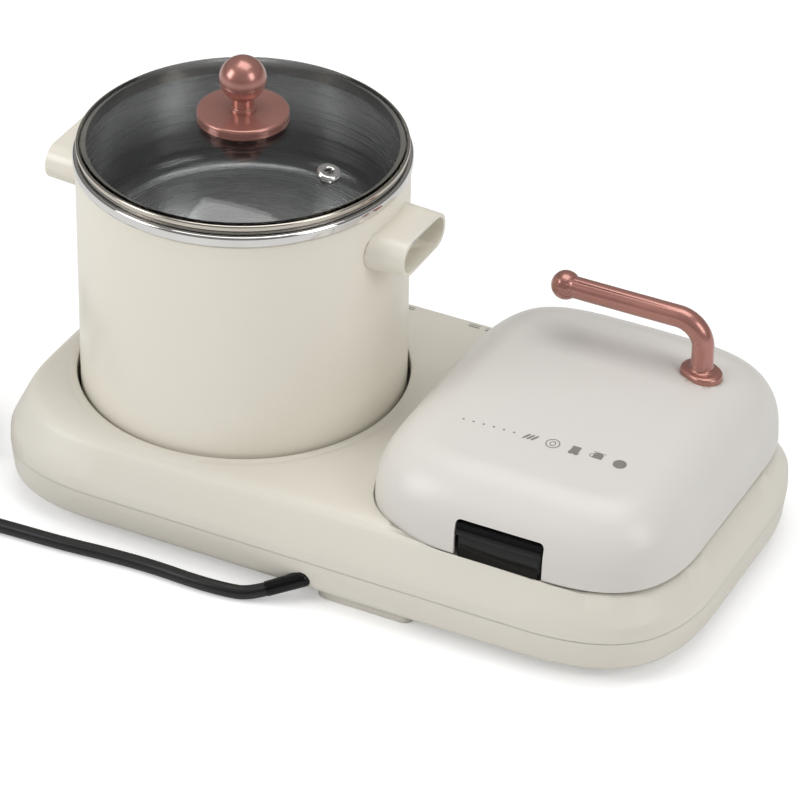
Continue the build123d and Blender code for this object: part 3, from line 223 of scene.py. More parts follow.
def make_moulded_group():
    group, inside, outside = group_nodes("moulded_surface")
    add_socket(group, "Color", "INPUT", "NodeSocketColor", (0.8, 0.8, 0.8, 1.0))
    add_socket(group, "Cloud Color", "INPUT", "NodeSocketColor", (0.7, 0.7, 0.7, 1.0))
    add_socket(group, "Roughness", "INPUT", "NodeSocketFloat", 0.4)
    add_socket(group, "Grain Scale", "INPUT", "NodeSocketFloat", 1800.0)
    add_socket(group, "Grain Depth", "INPUT", "NodeSocketFloat", 0.1)
    add_socket(group, "Color", "OUTPUT", "NodeSocketColor")
    add_socket(group, "Roughness", "OUTPUT", "NodeSocketFloat")
    add_socket(group, "Normal", "OUTPUT", "NodeSocketVector")
    place = group.nodes.new("ShaderNodeTexCoord")
    cloud = noise_node(group, 9.0, 3.0)
    grain = noise_node(group, 1800.0, 1.0)
    links = group.links
    links.new(place.outputs["Object"], cloud.inputs["Vector"])
    links.new(place.outputs["Object"], grain.inputs["Vector"])
    links.new(inside.outputs["Grain Scale"], grain.inputs["Scale"])
    tint = group.nodes.new("ShaderNodeMix")
    tint.data_type = "RGBA"
    clouded = spread(group, cloud.outputs["Fac"], 0.0, 1.0)
    links.new(clouded.outputs["Result"], tint.inputs["Factor"])
    links.new(inside.outputs["Color"], tint.inputs["A"])
    links.new(inside.outputs["Cloud Color"], tint.inputs["B"])
    links.new(tint.outputs["Result"], outside.inputs["Color"])
    wander = group.nodes.new("ShaderNodeMath")
    links.new(inside.outputs["Roughness"], wander.inputs[0])
    links.new(spread(group, grain.outputs["Fac"], -0.04, 0.04).outputs["Result"], wander.inputs[1])
    links.new(wander.outputs["Value"], outside.inputs["Roughness"])
    bump = group.nodes.new("ShaderNodeBump")
    bump.inputs["Distance"].default_value = 0.00004
    links.new(inside.outputs["Grain Depth"], bump.inputs["Strength"])
    links.new(grain.outputs["Fac"], bump.inputs["Height"])
    links.new(bump.outputs["Normal"], outside.inputs["Normal"])
    return group


moulded_surface = make_moulded_group()
print("group", moulded_surface.name)

# %% [markdown]
# Sheet metal for pots is spun and polished on a lathe, so its fine lines run round the pot's
# axis. The second group reads the distance from that axis and the height, which makes rings on
# a floor and level lines on a wall. A soft cloud of larger marks keeps it from looking new.

# %% Node group for turned metal
pot_centre = (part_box("pot_shell")[0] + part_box("pot_shell")[1]) / 2


def make_turned_group():
    group, inside, outside = group_nodes("turned_metal")
    add_socket(group, "Color", "INPUT", "NodeSocketColor", (0.6, 0.6, 0.6, 1.0))
    add_socket(group, "Roughness", "INPUT", "NodeSocketFloat", 0.2)
    add_socket(group, "Line Scale", "INPUT", "NodeSocketFloat", 2500.0)
    add_socket(group, "Line Depth", "INPUT", "NodeSocketFloat", 0.1)
    add_socket(group, "Color", "OUTPUT", "NodeSocketColor")
    add_socket(group, "Roughness", "OUTPUT", "NodeSocketFloat")
    add_socket(group, "Normal", "OUTPUT", "NodeSocketVector")
    links = group.links
    place = group.nodes.new("ShaderNodeTexCoord")
    centred = group.nodes.new("ShaderNodeMapping")
    centred.inputs["Location"].default_value = (-pot_centre.x, -pot_centre.y, 0.0)
    links.new(place.outputs["Object"], centred.inputs["Vector"])
    parts = group.nodes.new("ShaderNodeSeparateXYZ")
    links.new(centred.outputs["Vector"], parts.inputs["Vector"])
    flat = group.nodes.new("ShaderNodeCombineXYZ")
    links.new(parts.outputs["X"], flat.inputs["X"])
    links.new(parts.outputs["Y"], flat.inputs["Y"])
    reach = group.nodes.new("ShaderNodeVectorMath")
    reach.operation = "LENGTH"
    links.new(flat.outputs["Vector"], reach.inputs[0])
    rings = group.nodes.new("ShaderNodeCombineXYZ")
    links.new(reach.outputs["Value"], rings.inputs["X"])
    links.new(parts.outputs["Z"], rings.inputs["Y"])
    lines = noise_node(group, 2500.0, 2.0)
    links.new(inside.outputs["Line Scale"], lines.inputs["Scale"])
    links.new(rings.outputs["Vector"], lines.inputs["Vector"])
    cloud = noise_node(group, 22.0, 3.0)
    links.new(place.outputs["Object"], cloud.inputs["Vector"])
    shade = group.nodes.new("ShaderNodeMix")
    shade.data_type = "RGBA"
    shade.blend_type = "MULTIPLY"
    shade.inputs["B"].default_value = (0.86, 0.86, 0.87, 1.0)
    clouded = spread(group, cloud.outputs["Fac"], 0.0, 1.0)
    links.new(clouded.outputs["Result"], shade.inputs["Factor"])
    links.new(inside.outputs["Color"], shade.inputs["A"])
    links.new(shade.outputs["Result"], outside.inputs["Color"])
    wander = group.nodes.new("ShaderNodeMath")
    links.new(inside.outputs["Roughness"], wander.inputs[0])
    links.new(spread(group, lines.outputs["Fac"], -0.05, 0.05).outputs["Result"], wander.inputs[1])
    links.new(wander.outputs["Value"], outside.inputs["Roughness"])
    bump = group.nodes.new("ShaderNodeBump")
    bump.inputs["Distance"].default_value = 0.00003
    links.new(inside.outputs["Line Depth"], bump.inputs["Strength"])
    links.new(lines.outputs["Fac"], bump.inputs["Height"])
    links.new(bump.outputs["Normal"], outside.inputs["Normal"])
    return group


turned_metal = make_turned_group()
print("group", turned_metal.name)

# %% [markdown]
# Each finish is a material of its own. The group feeds its colour, roughness and normal into a
# Principled shader, and what is the same all over, such as metal or coat, is set on the shader.

# %% Finishes


def srgb(red, green, blue):
    """Linear colour of an 8 bit screen colour."""
    def curve(value):
        share = value / 255
        return share / 12.92 if share <= 0.04045 else ((share + 0.055) / 1.055) ** 2.4
    return (curve(red), curve(green), curve(blue), 1.0)


def new_finish(name, group, settings, metallic=0.0, coat=0.0):
    """Material whose Principled shader is fed by a surface group."""
    material = bpy.data.materials.new(name)
    material.use_nodes = True
    tree = material.node_tree
    shader = tree.nodes["Principled BSDF"]
    surface = tree.nodes.new("ShaderNodeGroup")
    surface.node_tree = group
    for socket, value in settings.items():
        surface.inputs[socket].default_value = value
    tree.links.new(surface.outputs["Color"], shader.inputs["Base Color"])
    tree.links.new(surface.outputs["Roughness"], shader.inputs["Roughness"])
    tree.links.new(surface.outputs["Normal"], shader.inputs["Normal"])
    shader.inputs["Metallic"].default_value = metallic
    shader.inputs["Coat Weight"].default_value = coat
    shader.inputs["Coat Roughness"].default_value = 0.08
    material.diffuse_color = settings["Color"]
    print("finish", name)
    return material


def plastic(name, color, cloud, roughness, grain_scale=1800.0, grain_depth=0.1, coat=0.0):
    settings = {"Color": color, "Cloud Color": cloud, "Roughness": roughness,
                "Grain Scale": grain_scale, "Grain Depth": grain_depth}
    return new_finish(name, moulded_surface, settings, coat=coat)


def metal(name, color, roughness, line_scale=2500.0, line_depth=0.1, coat=0.0, metallic=1.0):
    settings = {"Color": color, "Roughness": roughness, "Line Scale": line_scale,
                "Line Depth": line_depth}
    return new_finish(name, turned_metal, settings, metallic, coat)


ivory_satin = plastic("ivory_satin", srgb(221, 217, 206), srgb(219, 214, 202), 0.40, 2200.0, 0.12)
ivory_cover = plastic("ivory_cover", srgb(218, 215, 210), srgb(216, 212, 206), 0.36, 2200.0, 0.10)
ivory_enamel = plastic("ivory_enamel", srgb(232, 227, 214), srgb(231, 226, 212), 0.33, 2600.0, 0.05,
                       coat=0.15)
glossy_black = plastic("glossy_black", srgb(8, 9, 10), srgb(12, 12, 13), 0.20, 500.0, 0.03)
black_shader = glossy_black.node_tree.nodes["Principled BSDF"]
black_shader.inputs["Specular IOR Level"].default_value = 0.25
matte_black = plastic("matte_black", srgb(34, 34, 35), srgb(42, 42, 43), 0.55, 1500.0, 0.25)
foot_rubber = plastic("foot_rubber", srgb(52, 52, 52), srgb(62, 61, 60), 0.75, 900.0, 0.4)
cord_sheath = plastic("cord_sheath", srgb(10, 10, 10), srgb(14, 14, 14), 0.38, 900.0, 0.10)
terminal_white = plastic("terminal_white", srgb(225, 224, 219), srgb(214, 212, 205), 0.5)
circuit_board = plastic("circuit_board", srgb(34, 88, 46), srgb(28, 74, 40), 0.45)
lamp_amber = plastic("lamp_amber", srgb(214, 96, 44), srgb(196, 78, 34), 0.18, 500.0, 0.02,
                     coat=0.4)
print_grey = plastic("print_grey", srgb(128, 125, 121), srgb(138, 135, 130), 0.5)
nonstick = plastic("nonstick", srgb(44, 44, 46), srgb(58, 58, 60), 0.38, 1400.0, 0.5, coat=0.2)
rose_gold = metal("rose_gold", srgb(184, 128, 116), 0.28, 60.0, 0.0, coat=0.6, metallic=0.6)
rim_steel = metal("rim_steel", srgb(205, 198, 186), 0.14, 2500.0, 0.05)
polished_steel = metal("polished_steel", srgb(226, 224, 221), 0.07, 2500.0, 0.04)
satin_steel = metal("satin_steel", srgb(205, 203, 200), 0.20, 2500.0, 0.14)
pan_steel = metal("pan_steel", srgb(158, 157, 155), 0.24, 2500.0, 0.0, metallic=0.8)
spun_aluminium = metal("spun_aluminium", srgb(205, 206, 208), 0.32, 1600.0, 0.4)
plain_steel = metal("plain_steel", srgb(186, 186, 188), 0.28, 1200.0, 0.15)
nickel = metal("nickel", srgb(206, 200, 186), 0.18, 1200.0, 0.1)

# %% [markdown]
# The lid is clear tempered glass. It keeps a plain transmission, and its only colour is the
# faint green that a thick pane has, set on the shader itself.

# %% Glass


def make_glass():
    material = bpy.data.materials.new("clear_glass")
    material.use_nodes = True
    tree = material.node_tree
    shader = tree.nodes["Principled BSDF"]
    shader.inputs["Transmission Weight"].default_value = 1.0
    shader.inputs["IOR"].default_value = 1.45
    smears = noise_node(tree, 60.0, 4.0)
    place = tree.nodes.new("ShaderNodeTexCoord")
    tree.links.new(place.outputs["Object"], smears.inputs["Vector"])
    rough = spread(tree, smears.outputs["Fac"], 0.0, 0.02)
    tree.links.new(rough.outputs["Result"], shader.inputs["Roughness"])
    shader.inputs["Base Color"].default_value = (0.97, 0.985, 0.98, 1.0)
    material.diffuse_color = (0.9, 0.95, 0.95, 0.3)
    return material


clear_glass = make_glass()

# %% [markdown]
# Every CAD node gets its finish from one list. Nodes that nobody sees still get the finish that
# the real piece has, because the lid opens and the pot lifts out.

# %% Finishes of the nodes
finish_of = {
    ivory_satin: ["lower_housing", "upper_housing", "rear_foot_block", "timer_knob", "power_knob",
                  "start_button"],
    ivory_cover: ["press_cover"],
    ivory_enamel: ["pot_shell", "press_side_ear", "outer_side_ear"],
    glossy_black: ["hinge_bracket", "cord_grommet"],
    matte_black: ["cord_clamp", "timer_movement", "heat_switch", "button_switch", "press_liner",
                  "mains_plug", "cord_tie"],
    foot_rubber: ["rubber_feet"],
    cord_sheath: ["power_cord", "cord_coil"],
    terminal_white: ["terminal_block", "wire_harness"],
    circuit_board: ["indicator_board"],
    lamp_amber: ["indicator_lenses"],
    nonstick: ["lower_press_plate", "upper_press_plate"],
    rose_gold: ["handle", "handle_end_ball", "lid_knob", "lid_knob_base"],
    polished_steel: ["steam_vent", "pot_liner"],
    rim_steel: ["lid_rim"],
    satin_steel: ["pot_well_liner", "lower_press_tray", "pot_base_plate"],
    pan_steel: ["inner_pan"],
    spun_aluminium: ["hot_plate", "sensor_cap"],
    plain_steel: ["housing_screws", "hinge_pin", "sensor_guide", "sensor_spring", "button_spring",
                  "timer_shaft", "power_shaft", "handle_screws", "cover_screws", "ear_rivets",
                  "lid_knob_screw", "press_thermostat", "thermal_fuse", "hot_plate_bracket",
                  "hot_plate_element", "lower_press_element", "upper_press_element"],
    nickel: ["plug_pins"],
    clear_glass: ["lid_glass"],
}
node_finish = {name: material for material, names in finish_of.items() for name in names}
for name, node in nodes.items():
    node.data.materials.clear()
    node.data.materials.append(node_finish[name])
print("finished nodes", len(node_finish), "of", len(nodes))

# %% [markdown]
# The CAD solids arrive as loose flat triangles. A rounded shell looks faceted under a soft light,
# so each visible shell is copied, its corners are merged and its soft edges are shaded smooth,
# and the copy stands for the node. The shape stays exactly that of the CAD solid.

# %% Smooth copies of the moulded shells
sharp_angle = math.radians(34)
merge_distance = 0.00002


def finish_piece(shape, name, material, body):
    """Object at the origin from a bmesh, smooth shaded, riding on a body."""
    mesh = bpy.data.meshes.new(name)
    shape.to_mesh(mesh)
    shape.free()
    mesh.materials.append(material)
    mesh.shade_smooth()
    mesh.set_sharp_from_angle(angle=sharp_angle)
    piece = bpy.data.objects.new(name, mesh)
    bpy.context.collection.objects.link(piece)
    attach(piece, body)
    return piece


def smooth_copy(name, body):
    shape = bmesh.new()
    shape.from_mesh(nodes[name].data)
    bmesh.ops.remove_doubles(shape, verts=shape.verts, dist=merge_distance)
    count = len(shape.faces)
    piece = finish_piece(shape, name + "_smooth", node_finish[name], body)
    weighted = piece.modifiers.new("weighted", "WEIGHTED_NORMAL")
    weighted.keep_sharp = True
    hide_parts(name)
    print("smoothed", name, count, "faces")


copied = {
    "base": ["lower_housing", "upper_housing", "rear_foot_block", "hinge_bracket", "cord_grommet",
             "mains_plug", "hot_plate", "pot_well_liner", "lower_press_plate", "lower_press_tray",
             "hinge_pin", "rubber_feet"],
    "press_lid": ["press_cover", "handle", "upper_press_plate"],
    "pot": ["press_side_ear", "outer_side_ear", "ear_rivets"],
    "timer_knob": ["timer_knob"],
    "power_knob": ["power_knob"],
    "start_button": ["start_button"],
}
for body, names in copied.items():
    for name in names:
        smooth_copy(name, body)

# %% [markdown]
# The pot, its lid and the round knob are turned shapes. Each is an outline spun round its own
# axis in fine steps, so that rims and highlights stay round. The outlines take their sizes from
# the boxes of the CAD nodes that they stand for.

# %% Turned pieces of the pot
spin_steps = 192


def turned_piece(name, outline, axis, material, body, closed=True):
    """Outline of (radius, height) points in metres, spun round an upright axis."""
    shape = bmesh.new()
    corners = [shape.verts.new((r, 0, z)) for r, z in outline]
    pairs = list(zip(corners, corners[1:]))
    if closed:
        pairs.append((corners[-1], corners[0]))
    edges = [shape.edges.new(pair) for pair in pairs]
    bmesh.ops.spin(shape, geom=corners + edges, cent=(0, 0, 0), axis=(0, 0, 1),
                   angle=2 * math.pi, steps=spin_steps, use_merge=True)
    bmesh.ops.remove_doubles(shape, verts=shape.verts, dist=0.000005)
    bmesh.ops.recalc_face_normals(shape, faces=shape.faces)
    bmesh.ops.translate(shape, verts=shape.verts, vec=axis)
    piece = finish_piece(shape, name, material, body)
    print("turned", name, len(piece.data.polygons), "faces")
    return piece


def arc(r, z, radius, start, end, steps=8):
    """Points of an arc in an outline, between two angles in degrees."""
    angles = [math.radians(start + (end - start) * k / steps) for k in range(steps + 1)]
    return [(r + radius * math.cos(a), z + radius * math.sin(a)) for a in angles]


pot_axis = Vector((pot_centre.x, pot_centre.y, 0))
shell_low, shell_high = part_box("pot_shell")
liner_low, liner_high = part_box("pot_liner")
shell_radius = (shell_high.y - shell_low.y) / 2
bead_radius = (liner_high.y - liner_low.y) / 2
shell_wall = 1.4 * mm
shell_corner = 10.0 * mm
base_opening = (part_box("pot_base_plate")[1].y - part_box("pot_base_plate")[0].y) / 2 + 0.2 * mm
bead_height = liner_high.z - shell_high.z - 0.1 * mm
bead_round = 1.7 * mm
shell_lip = 0.6 * mm
liner_lip = 0.5 * mm
liner_wall = 0.9 * mm
liner_radius = shell_radius - shell_wall - 0.2 * mm
liner_corner = shell_corner - shell_wall

shell_outline = [(base_opening, shell_low.z)]
shell_outline += arc(shell_radius - shell_corner, shell_low.z + shell_corner, shell_corner, -90, 0)
shell_outline += arc(shell_radius - shell_lip, shell_high.z - shell_lip, shell_lip, 0, 90, 3)
shell_outline += [(shell_radius - shell_wall, shell_high.z)]
shell_outline += arc(shell_radius - shell_corner, shell_low.z + shell_corner,
                     shell_corner - shell_wall, 0, -90)
shell_outline += [(base_opening, shell_low.z + shell_wall)]
pot_wall = turned_piece("pot_wall", shell_outline, pot_axis, ivory_enamel, "pot")
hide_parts("pot_shell")

liner_outline = [(0, liner_low.z)]
liner_outline += arc(liner_radius - liner_corner, liner_low.z + liner_corner, liner_corner, -90, 0)
liner_outline += [(liner_radius, liner_high.z - bead_height)]
liner_outline += arc(bead_radius - bead_round, liner_high.z - bead_height + bead_round, bead_round,
                     -90, 0)
liner_outline += arc(bead_radius - bead_round, liner_high.z - bead_round, bead_round, 0, 90)
liner_outline += arc(liner_radius - liner_wall + liner_lip, liner_high.z - liner_lip, liner_lip,
                     90, 180, 3)
liner_outline += arc(liner_radius - liner_corner, liner_low.z + liner_corner,
                     liner_corner - liner_wall, 0, -90)
liner_outline += [(0, liner_low.z + liner_wall)]
pot_inside = turned_piece("pot_inside", liner_outline, pot_axis, polished_steel, "pot",
                          closed=False)
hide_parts("pot_liner")

# %% [markdown]
# The shallow pan hangs in the pot's rim and is what shows through the lid. Its inside colour is
# painted light that follows the height: a painted bright reflection on the floor, a painted dark
# band of shade at its rounded corner, and a wall painted brighter towards the rim, for what the
# curved steel mirrors. The outside of the pan is plain satin steel, as a second finish on its
# outer faces.

# %% Shallow pan
pan_low, pan_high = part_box("inner_pan")
pan_wall = 0.8 * mm
pan_corner = 13.0 * mm
pan_rim = (pan_high.y - pan_low.y) / 2 - 1.3 * mm
pan_radius = liner_radius - liner_wall - 0.9 * mm
# Painted light levels: a bright painted reflection on the floor, a dark painted shade band low on
# the wall, a wall painted brighter towards the rim.
pan_painted_light_levels = ((0.0, 0.72), (0.012, 0.72), (0.05, 0.06), (0.34, 0.05), (0.60, 0.34), (1.0, 0.95))
pan_outline = [(0, pan_low.z)]
pan_outline += arc(pan_radius - pan_corner, pan_low.z + pan_corner, pan_corner, -90, 0, 12)
pan_outline += [(pan_radius, pan_high.z - pan_wall)]
pan_outline += arc(pan_rim - pan_wall / 2, pan_high.z - pan_wall / 2, pan_wall / 2, -90, 90, 4)
pan_outline += [(pan_radius - pan_wall, pan_high.z)]
pan_outline += arc(pan_radius - pan_corner, pan_low.z + pan_corner, pan_corner - pan_wall,
                   0, -90, 12)
pan_outline += [(0, pan_low.z + pan_wall)]


def paint_light_by_height(material, low, high, levels):
    """Painted light and shade: greys that follow the height, given as (share of the height, level).
    """
    tree = material.node_tree
    place = tree.nodes.new("ShaderNodeTexCoord")
    parts = tree.nodes.new("ShaderNodeSeparateXYZ")
    tree.links.new(place.outputs["Object"], parts.inputs["Vector"])
    share = tree.nodes.new("ShaderNodeMapRange")
    share.inputs["From Min"].default_value = low
    share.inputs["From Max"].default_value = high
    tree.links.new(parts.outputs["Z"], share.inputs["Value"])
    tones = tree.nodes.new("ShaderNodeValToRGB")
    fill_ramp(tones.color_ramp, levels)
    tree.links.new(share.outputs["Result"], tones.inputs["Fac"])
    surface = next(node for node in tree.nodes if node.type == "GROUP")
    tree.links.new(tones.outputs["Color"], surface.inputs["Color"])


def polish_outside(piece, axis, material):
    """A second finish on the faces that look away from the axis or down."""
    piece.data.materials.append(material)
    outside = 0
    for face in piece.data.polygons:
        away = (face.center - axis) * Vector((1, 1, 0))
        if face.normal.dot(away.normalized()) > face.normal.z:
            face.material_index = 1
            outside += 1
    print("outside faces", outside)


# The pan's inside colour is painted reflection and shade, set by the height.
paint_light_by_height(pan_steel, pan_low.z, pan_high.z, pan_painted_light_levels)
pan_dish = turned_piece("pan_dish", pan_outline, pot_axis, pan_steel, "inner_pan", closed=False)
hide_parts("inner_pan")
polish_outside(pan_dish, pot_axis, satin_steel)

# %% [markdown]
# The lid is a shallow glass dome in a rolled steel ring. Both faces of the glass are arcs of one
# large circle, found from the glass's own height and width. The ring rests on a flat seat, and an
# undercut beyond the seat leaves the dark gap that shows above the pot's rim.

# %% Lid glass and ring
glass_low, glass_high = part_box("lid_glass")
glass_radius = (glass_high.y - glass_low.y) / 2
glass_thickness = 3.0 * mm
glass_rise = glass_high.z - glass_low.z - glass_thickness
dome_radius = (glass_radius ** 2 + glass_rise ** 2) / (2 * glass_rise)
knob_bore = 2.2 * mm


def glass_height(radius, drop=0.0):
    """Height of the glass at a distance from the axis, drop below its top face."""
    return glass_high.z - drop - dome_radius + math.sqrt(dome_radius ** 2 - radius ** 2)


def glass_stretch(start, end, drop, steps=14):
    radii = [start + (end - start) * k / steps for k in range(steps + 1)]
    return [(r, glass_height(r, drop)) for r in radii]


glass_outline = glass_stretch(knob_bore, glass_radius, glass_thickness)
glass_outline += glass_stretch(glass_radius, knob_bore, 0.0)
lid_dome = turned_piece("lid_dome", glass_outline, pot_axis, clear_glass, "pot_lid")
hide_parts("lid_glass")

ring_low, ring_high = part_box("lid_rim")
ring_radius = (ring_high.y - ring_low.y) / 2
ring_round = 1.05 * mm
skirt_depth = 4.0 * mm
skirt_inner = pan_radius - pan_wall - 2.2 * mm
skirt_outer = skirt_inner + 0.8 * mm
ledge_height = 2.4 * mm
undercut_height = 1.2 * mm
ring_seat = 86.0 * mm
under_round = 0.7 * mm
ring_foot = ring_low.z + skirt_depth
ledge = ring_foot + ledge_height
ring_under = ring_foot + undercut_height
ring_outline = [(skirt_inner, ring_low.z), (skirt_outer, ring_low.z), (skirt_outer, ring_foot)]
ring_outline += [(ring_seat, ring_foot), (ring_seat, ring_under)]
ring_outline += arc(ring_radius - under_round, ring_under + under_round, under_round, -90, 0, 5)
ring_outline += arc(ring_radius - ring_round, ring_high.z - ring_round, ring_round, 0, 180, 10)
ring_outline += [(ring_radius - 2 * ring_round, ledge), (skirt_inner, ledge)]
lid_ring = turned_piece("lid_ring", ring_outline, pot_axis, rim_steel, "pot_lid")
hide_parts("lid_rim")

# %% [markdown]
# Steam leaves through a polished eyelet pressed into the glass. Its lip is a full round roll, so
# it is spun from an arc like the other round pieces and then tipped to stand square on the dome.

# %% Steam vent
vent_angle = math.radians(161)
vent_reach = 65.0 * mm
lip_radius = 6.5 * mm
lip_round = 1.5 * mm
vent_bore = 2.3 * mm
vent_neck = 3.6 * mm
vent_below = 4.0 * mm
flange_radius = vent_neck + 1.4 * mm
flange_top = -3.3 * mm
vent_gap = 0.1 * mm
mouth_round = 0.8 * mm
mouth_height = 2.2 * mm
vent_outline = [(vent_bore, -vent_below), (flange_radius, -vent_below), (flange_radius, flange_top),
                (vent_neck, flange_top), (vent_neck, vent_gap)]
vent_outline += arc(lip_radius - lip_round, lip_round + vent_gap, lip_round, -90, 90, 10)
vent_outline += arc(vent_bore + mouth_round, mouth_height, mouth_round, 90, 180, 5)


def make_vent():
    across = Vector((math.cos(vent_angle), math.sin(vent_angle), 0)) * vent_reach
    foot = pot_axis + across + Vector((0, 0, glass_height(vent_reach)))
    middle = pot_axis + Vector((0, 0, glass_high.z - dome_radius))
    vent = turned_piece("vent_eyelet", vent_outline, Vector((0, 0, 0)), polished_steel, "pot_lid")
    tip = Vector((0, 0, 1)).rotation_difference(foot - middle).to_matrix().to_4x4()
    vent.data.transform(Matrix.Translation(foot) @ tip)
    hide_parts("steam_vent")


make_vent()

# %% [markdown]
# The lid's knob is a ball on a short neck over a round disc, die-cast and plated rose gold. The
# ball is made in two halves, so a fine seam runs round it just below the middle.

# %% Lid knob
ball_low, ball_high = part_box("lid_knob")
disc_low, disc_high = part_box("lid_knob_base")
ball_radius = (ball_high.y - ball_low.y) / 2
ball_centre = ball_high.z - ball_radius
neck_radius = 5.9 * mm
collar_radius = neck_radius + 1.2 * mm
seam_depth = 0.18 * mm
seam_angle = -8.0
seam_spread = 1.2
seam_floor = 0.6
neck_angle = -math.degrees(math.acos(neck_radius / ball_radius))

knob_outline = [(0, ball_low.z), (collar_radius, ball_low.z)]
knob_outline += arc(collar_radius - 0.4 * mm, ball_low.z + 1.0 * mm, 0.4 * mm, 0, 90, 4)
knob_outline += arc(neck_radius + 0.6 * mm, ball_low.z + 2.0 * mm, 0.6 * mm, -90, -180, 4)
knob_outline += arc(0, ball_centre, ball_radius, neck_angle, seam_angle - seam_spread, 16)
knob_outline += arc(0, ball_centre, ball_radius - seam_depth, seam_angle - seam_floor,
                    seam_angle + seam_floor, 1)
knob_outline += arc(0, ball_centre, ball_radius, seam_angle + seam_spread, 90, 30)
knob_ball = turned_piece("knob_ball", knob_outline, pot_axis, rose_gold, "pot_lid", closed=False)
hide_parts("lid_knob")

disc_radius = (disc_high.y - disc_low.y) / 2
disc_round = 1.4 * mm
disc_gap = 0.2 * mm
disc_outline = [(r, z + disc_gap) for r, z in glass_stretch(knob_bore, disc_radius, 0.0, 6)]
disc_outline += arc(disc_radius - disc_round, disc_high.z - disc_round, disc_round, 0, 90, 8)
disc_outline += [(knob_bore, disc_high.z)]
knob_disc = turned_piece("knob_disc", disc_outline, pot_axis, rose_gold, "pot_lid")
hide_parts("lid_knob_base")

# %% [markdown]
# The end ball of the press handle is a fine sphere, cut flat where the bar meets it.

# %% End ball of the handle
end_low, end_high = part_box("handle_end_ball")
end_radius = (end_high.y - end_low.y) / 2
end_centre = Vector((end_high.x - end_radius, (end_low.y + end_high.y) / 2,
                     (end_low.z + end_high.z) / 2))


def make_end_ball():
    shape = bmesh.new()
    bmesh.ops.create_uvsphere(shape, u_segments=64, v_segments=32, radius=end_radius)
    bmesh.ops.translate(shape, verts=shape.verts, vec=end_centre)
    cut = bmesh.ops.bisect_plane(shape, geom=shape.verts[:] + shape.edges[:] + shape.faces[:],
                                 plane_co=(end_low.x, 0, 0), plane_no=(-1, 0, 0), clear_outer=True)
    rim = [part for part in cut["geom_cut"] if isinstance(part, bmesh.types.BMEdge)]
    bmesh.ops.contextual_create(shape, geom=rim)
    bmesh.ops.recalc_face_normals(shape, faces=shape.faces)
    ball = finish_piece(shape, "handle_ball", rose_gold, "press_lid")
    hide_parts("handle_end_ball")


make_end_ball()
print("end ball radius", round(end_radius, 4))

# %% [markdown]
# The photograph shows a soft cast boot where the handle's post meets the cover: a thick oval foot
# with a rounded edge, and a hollow curve up to the post. Each level is an oval that shrinks to
# the post's circle as its outline rises, and neighbouring levels are bridged.

# %% Boot of the handle
post_centre = Vector((-151.3, -54.0, 0)) * mm
post_radius = 6.0 * mm
boot_turn = Matrix.Rotation(math.radians(-27), 3, "Z")
boot_radius = 9.2 * mm
boot_stretch = 3.3 * mm
boot_low = 92.6 * mm
boot_top = 97.4 * mm
boot_edge = 1.7 * mm
boot_hollow = 1.5 * mm
boot_inset = 0.02 * mm
boot_squareness = 3
boot_points = 64


def boot_level(shape, radius, height):
    """One oval of the boot, with its long way along the flange."""
    share = (radius - post_radius) / (boot_radius - post_radius)
    corners = []
    for k in range(boot_points):
        angle = 2 * math.pi * k / boot_points
        shift = boot_stretch * share * math.tanh(boot_squareness * math.cos(angle))
        along = shift + radius * math.cos(angle)
        place = boot_turn @ Vector((along, radius * math.sin(angle), height))
        corners.append(shape.verts.new(place))
    return [shape.edges.new((one, two)) for one, two in zip(corners, corners[1:] + corners[:1])]


def make_boot():
    outline = [(boot_radius, boot_low)]
    outline += arc(boot_radius - boot_edge, boot_top - boot_edge, boot_edge, 0, 90, 6)
    outline += arc(post_radius + boot_hollow, boot_top + boot_hollow, boot_hollow, -90, -180, 6)
    shape = bmesh.new()
    levels = [boot_level(shape, radius - boot_inset, height) for radius, height in outline]
    for lower, upper in zip(levels, levels[1:]):
        bmesh.ops.bridge_loops(shape, edges=lower + upper)
    bmesh.ops.recalc_face_normals(shape, faces=shape.faces)
    bmesh.ops.translate(shape, verts=shape.verts, vec=post_centre)
    finish_piece(shape, "handle_boot", rose_gold, "press_lid")
    print("boot levels", len(levels))


make_boot()

# %% [markdown]
# The printed marks are thin grey films. Each is cut from discs, rings and bars that lie flat, and
# is then laid on the surface under it by giving every point that surface's height.

# %% Printing helpers
print_lift = 0.06 * mm


def stamp_place(x, y, turn, wide, tall):
    """Place, turn in degrees and scale of a flat shape."""
    place = Matrix.Translation((x, y, 0)) @ Matrix.Rotation(math.radians(turn), 4, "Z")
    return place @ Matrix.Diagonal((wide, tall, 1.0, 1.0))


def stamp_disc(shape, x, y, radius, squeeze=1.0, turn=0.0, segments=24):
    place = stamp_place(x, y, turn, 1.0, squeeze)
    bmesh.ops.create_circle(shape, cap_ends=True, segments=segments, radius=radius, matrix=place)


def stamp_ring(shape, x, y, radius, line, squeeze=1.0, turn=0.0):
    """Ring made by bridging two open circles."""
    place = stamp_place(x, y, turn, 1.0, squeeze)
    edges = set()
    for reach in (radius, radius - line):
        circle = bmesh.ops.create_circle(shape, segments=32, radius=reach, matrix=place)
        edges.update(edge for vert in circle["verts"] for edge in vert.link_edges)
    bmesh.ops.bridge_loops(shape, edges=list(edges))


def stamp_bar(shape, x, y, length, width):
    place = stamp_place(x, y, 0.0, length / 2, width / 2)
    bmesh.ops.create_grid(shape, x_segments=6, y_segments=1, size=1.0, matrix=place)


def lay_print(shape, name, height_at, body):
    """Gives every point of a flat print the height of the surface under it."""
    for vert in shape.verts:
        vert.co.z = height_at(vert.co.x, vert.co.y) + print_lift
    bmesh.ops.recalc_face_normals(shape, faces=shape.faces)
    for face in shape.faces:
        if face.normal.z < 0:
            face.normal_flip()
    piece = finish_piece(shape, name, print_grey, body)
    print("printed", name, len(piece.data.polygons), "faces")


# %% [markdown]
# The press cover carries a row of six dots, then five simple signs. Its crown is part of one very
# large ball, which gives the height of the film.

